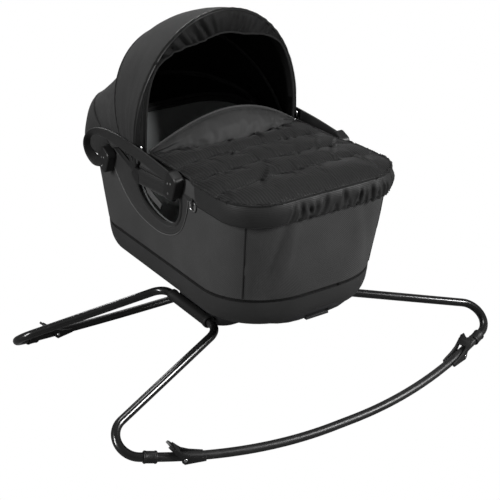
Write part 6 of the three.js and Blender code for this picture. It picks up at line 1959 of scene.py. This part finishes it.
def brim_depths(share):
    """How far the brim runs forward of the bow and inwards from it."""
    from_end = min(share, 1.0 - share)
    low = 1.0 - ease(from_end, 0.13, 0.29)
    high = ease(from_end, 0.27, 0.43)
    return [middle + (foot - middle) * low + (top - middle) * high
            for foot, middle, top in zip(BRIM_LOW, BRIM_MIDDLE, BRIM_TOP)]


def brim_gather(share, t):
    """Irregular gathers across the brim, deepest on its left shoulder."""
    place = share * 92.0 + 3.2 * noise_at((share * 8.0, t * 0.5, 2.0), 1.0)
    crease = 1.0 - abs(math.sin(place)) ** 0.6
    small = 0.35 * math.sin(share * 240.0 + 2.5 * noise_at((share * 15.0, t, 6.0), 1.0))
    where = 0.22 + math.exp(-((share - 0.37) / 0.075) ** 2) + 0.25 * math.exp(-((share - 0.62) / 0.12) ** 2)
    return where * (0.4 - crease + small) * ease(min(share, 1 - share), 0.2, 0.3)


def brim_point(share, t, lift=0.0):
    """A point of the brim, from the bow at nought round to its inner edge at one."""
    line = cloth_line(FRONT_LINE)
    at = arch_point(share, line)
    ahead = arch_point(min(share + 0.004, 0.93), line)
    along = (ahead - arch_point(max(share - 0.004, 0.07), line)).normalized()
    fore = Vector((0.0, -math.cos(line["lean"]), math.sin(line["lean"])))
    out = fore.cross(along).normalized()
    if out.dot(at - hood_middle) < 0:
        out = -out
    forward, inward = brim_depths(share)
    a = t * math.pi / 2
    round_share = ease(min(share, 1.0 - share), 0.2, 0.35)
    bent = lerp(t ** 1.15, 1.0 - math.cos(a), round_share)
    gather = 0.0085 * brim_gather(share, t) * math.sin(math.pi * min(t * 0.85, 1.0))
    gather = max(gather, -0.0015 - 0.006 * t)
    spot = at + fore * forward * math.sin(a) - out * inward * bent
    normal = (fore * math.sin(a) + out * math.cos(a)).normalized()
    return spot + normal * (gather + lift)


brim_rows = [[brim_point(share, r / BRIM_ROWS) for share in arc_shares(CLOTH_START_SHARE, steps=BRIM_STEPS)]
             for r in range(BRIM_ROWS + 1)]
brim = facing_out(loft("hood_brim", brim_rows), hood_middle)
# The brim's twill is the canopy's cloth painted far darker, as painted shade for the brim lying out of the
# light.
brim_twill = woven_cloth("brim_twill", tone(14), 0.0030, 0.0003, roughness=0.5, contrast=0.1, amount=0.12,
                         specular=0.2)
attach(lined(brim, BRIM_THICK, brim_twill, lining_black), "canopy_front")
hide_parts("canopy_visor")
brim_hem = tube_along("brim_hem", brim_rows[-1][::2], BRIM_HEM_R, sides=10)
fit_out(brim_hem, "canopy_front", "canopy_fabric", seam_black)
facing_rows = []
for r in range(BRIM_ROWS + 1):
    t = r / BRIM_ROWS
    row = []
    for share in arc_shares(FACING_START, steps=BRIM_STEPS):
        edge = brim_point(share, 1.0, -BRIM_THICK)
        deep = arch_point(share, grown(FRONT_LINE, -FACING_LIFT), FRONT_LINE["lean"] + FACING_BACK)
        point = edge.lerp(deep, t)
        swell = 0.006 * math.sin(math.pi * t) + 0.004 * brim_gather(share, 1 - t) * t
        row.append(point + (hood_middle - point).normalized() * swell)
    facing_rows.append(row)
facing = facing_out(loft("hood_facing", facing_rows), hood_middle)
facing.data.flip_normals()
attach(lined(facing, FACING_THICK, lining_black, lining_black), "canopy_front")

# Zip in the brim
# A fine zip joins the brim to the front panel, with a slider and its steel pull at each end.
ZIP_PLACE, ZIP_TOP_PLACE = 0.55, 0.1
ZIP_START = 0.088
TAPE_START = 0.085
TAPE_R = 0.0009
brim_slider_shape = [(0.0018, 0.0036, -0.006), (0.0028, 0.0046, -0.002), (0.0028, 0.0046, 0.003),
                     (0.0018, 0.0030, 0.006)]
pull_shape = [(0.003, 0.0007, 0.0024, -0.019), (0.003, 0.0009, 0.0032, -0.016),
              (0.0036, 0.0009, 0.0020, -0.002)]


def zip_place(share):
    """How far round the brim the zip lies: halfway low on both sides, by the bow over the top."""
    return lerp(ZIP_TOP_PLACE, ZIP_PLACE, 1.0 - ease(min(share, 1.0 - share), 0.14, 0.3))


zip_line = [brim_point(share, zip_place(share), 0.0004) for share in arc_shares(ZIP_START, steps=260)]
zip_row("brim_zip_teeth", zip_line, "canopy_front", zip_black, step=0.0022)
for t_step, beside in ((-0.10, "fore"), (0.10, "aft")):
    tape_edge = []
    for share in arc_shares(TAPE_START):
        t = zip_place(share)
        tape_edge.append(brim_point(share, max(t + t_step * (0.5 if t < 0.3 else 1.0), 0.0), 0.0003))
    tape = tube_along(f"brim_zip_tape_{beside}", tape_edge, TAPE_R, sides=8)
    fit_out(tape, "canopy_front", "canopy_fabric", seam_black)
for share, side, hand in ((0.104, -1, "left"), (0.896, 1, "right")):
    at = brim_point(share, ZIP_PLACE, 0.003)
    slider = cut_block(f"brim_zip_slider_{hand}", [((at.x, at.y), half_x, half_y, at.z + up)
                                                   for half_x, half_y, up in brim_slider_shape])
    fit_out(crisp(slider), "canopy_front", "bright_steel", bright_steel)
    pull = cut_block(f"brim_zip_pull_{hand}", [((at.x + side * out, at.y), half_x, half_y, at.z + up)
                                               for out, half_x, half_y, up in pull_shape])
    fit_out(crisp(pull), "canopy_front", "bright_steel", bright_steel)
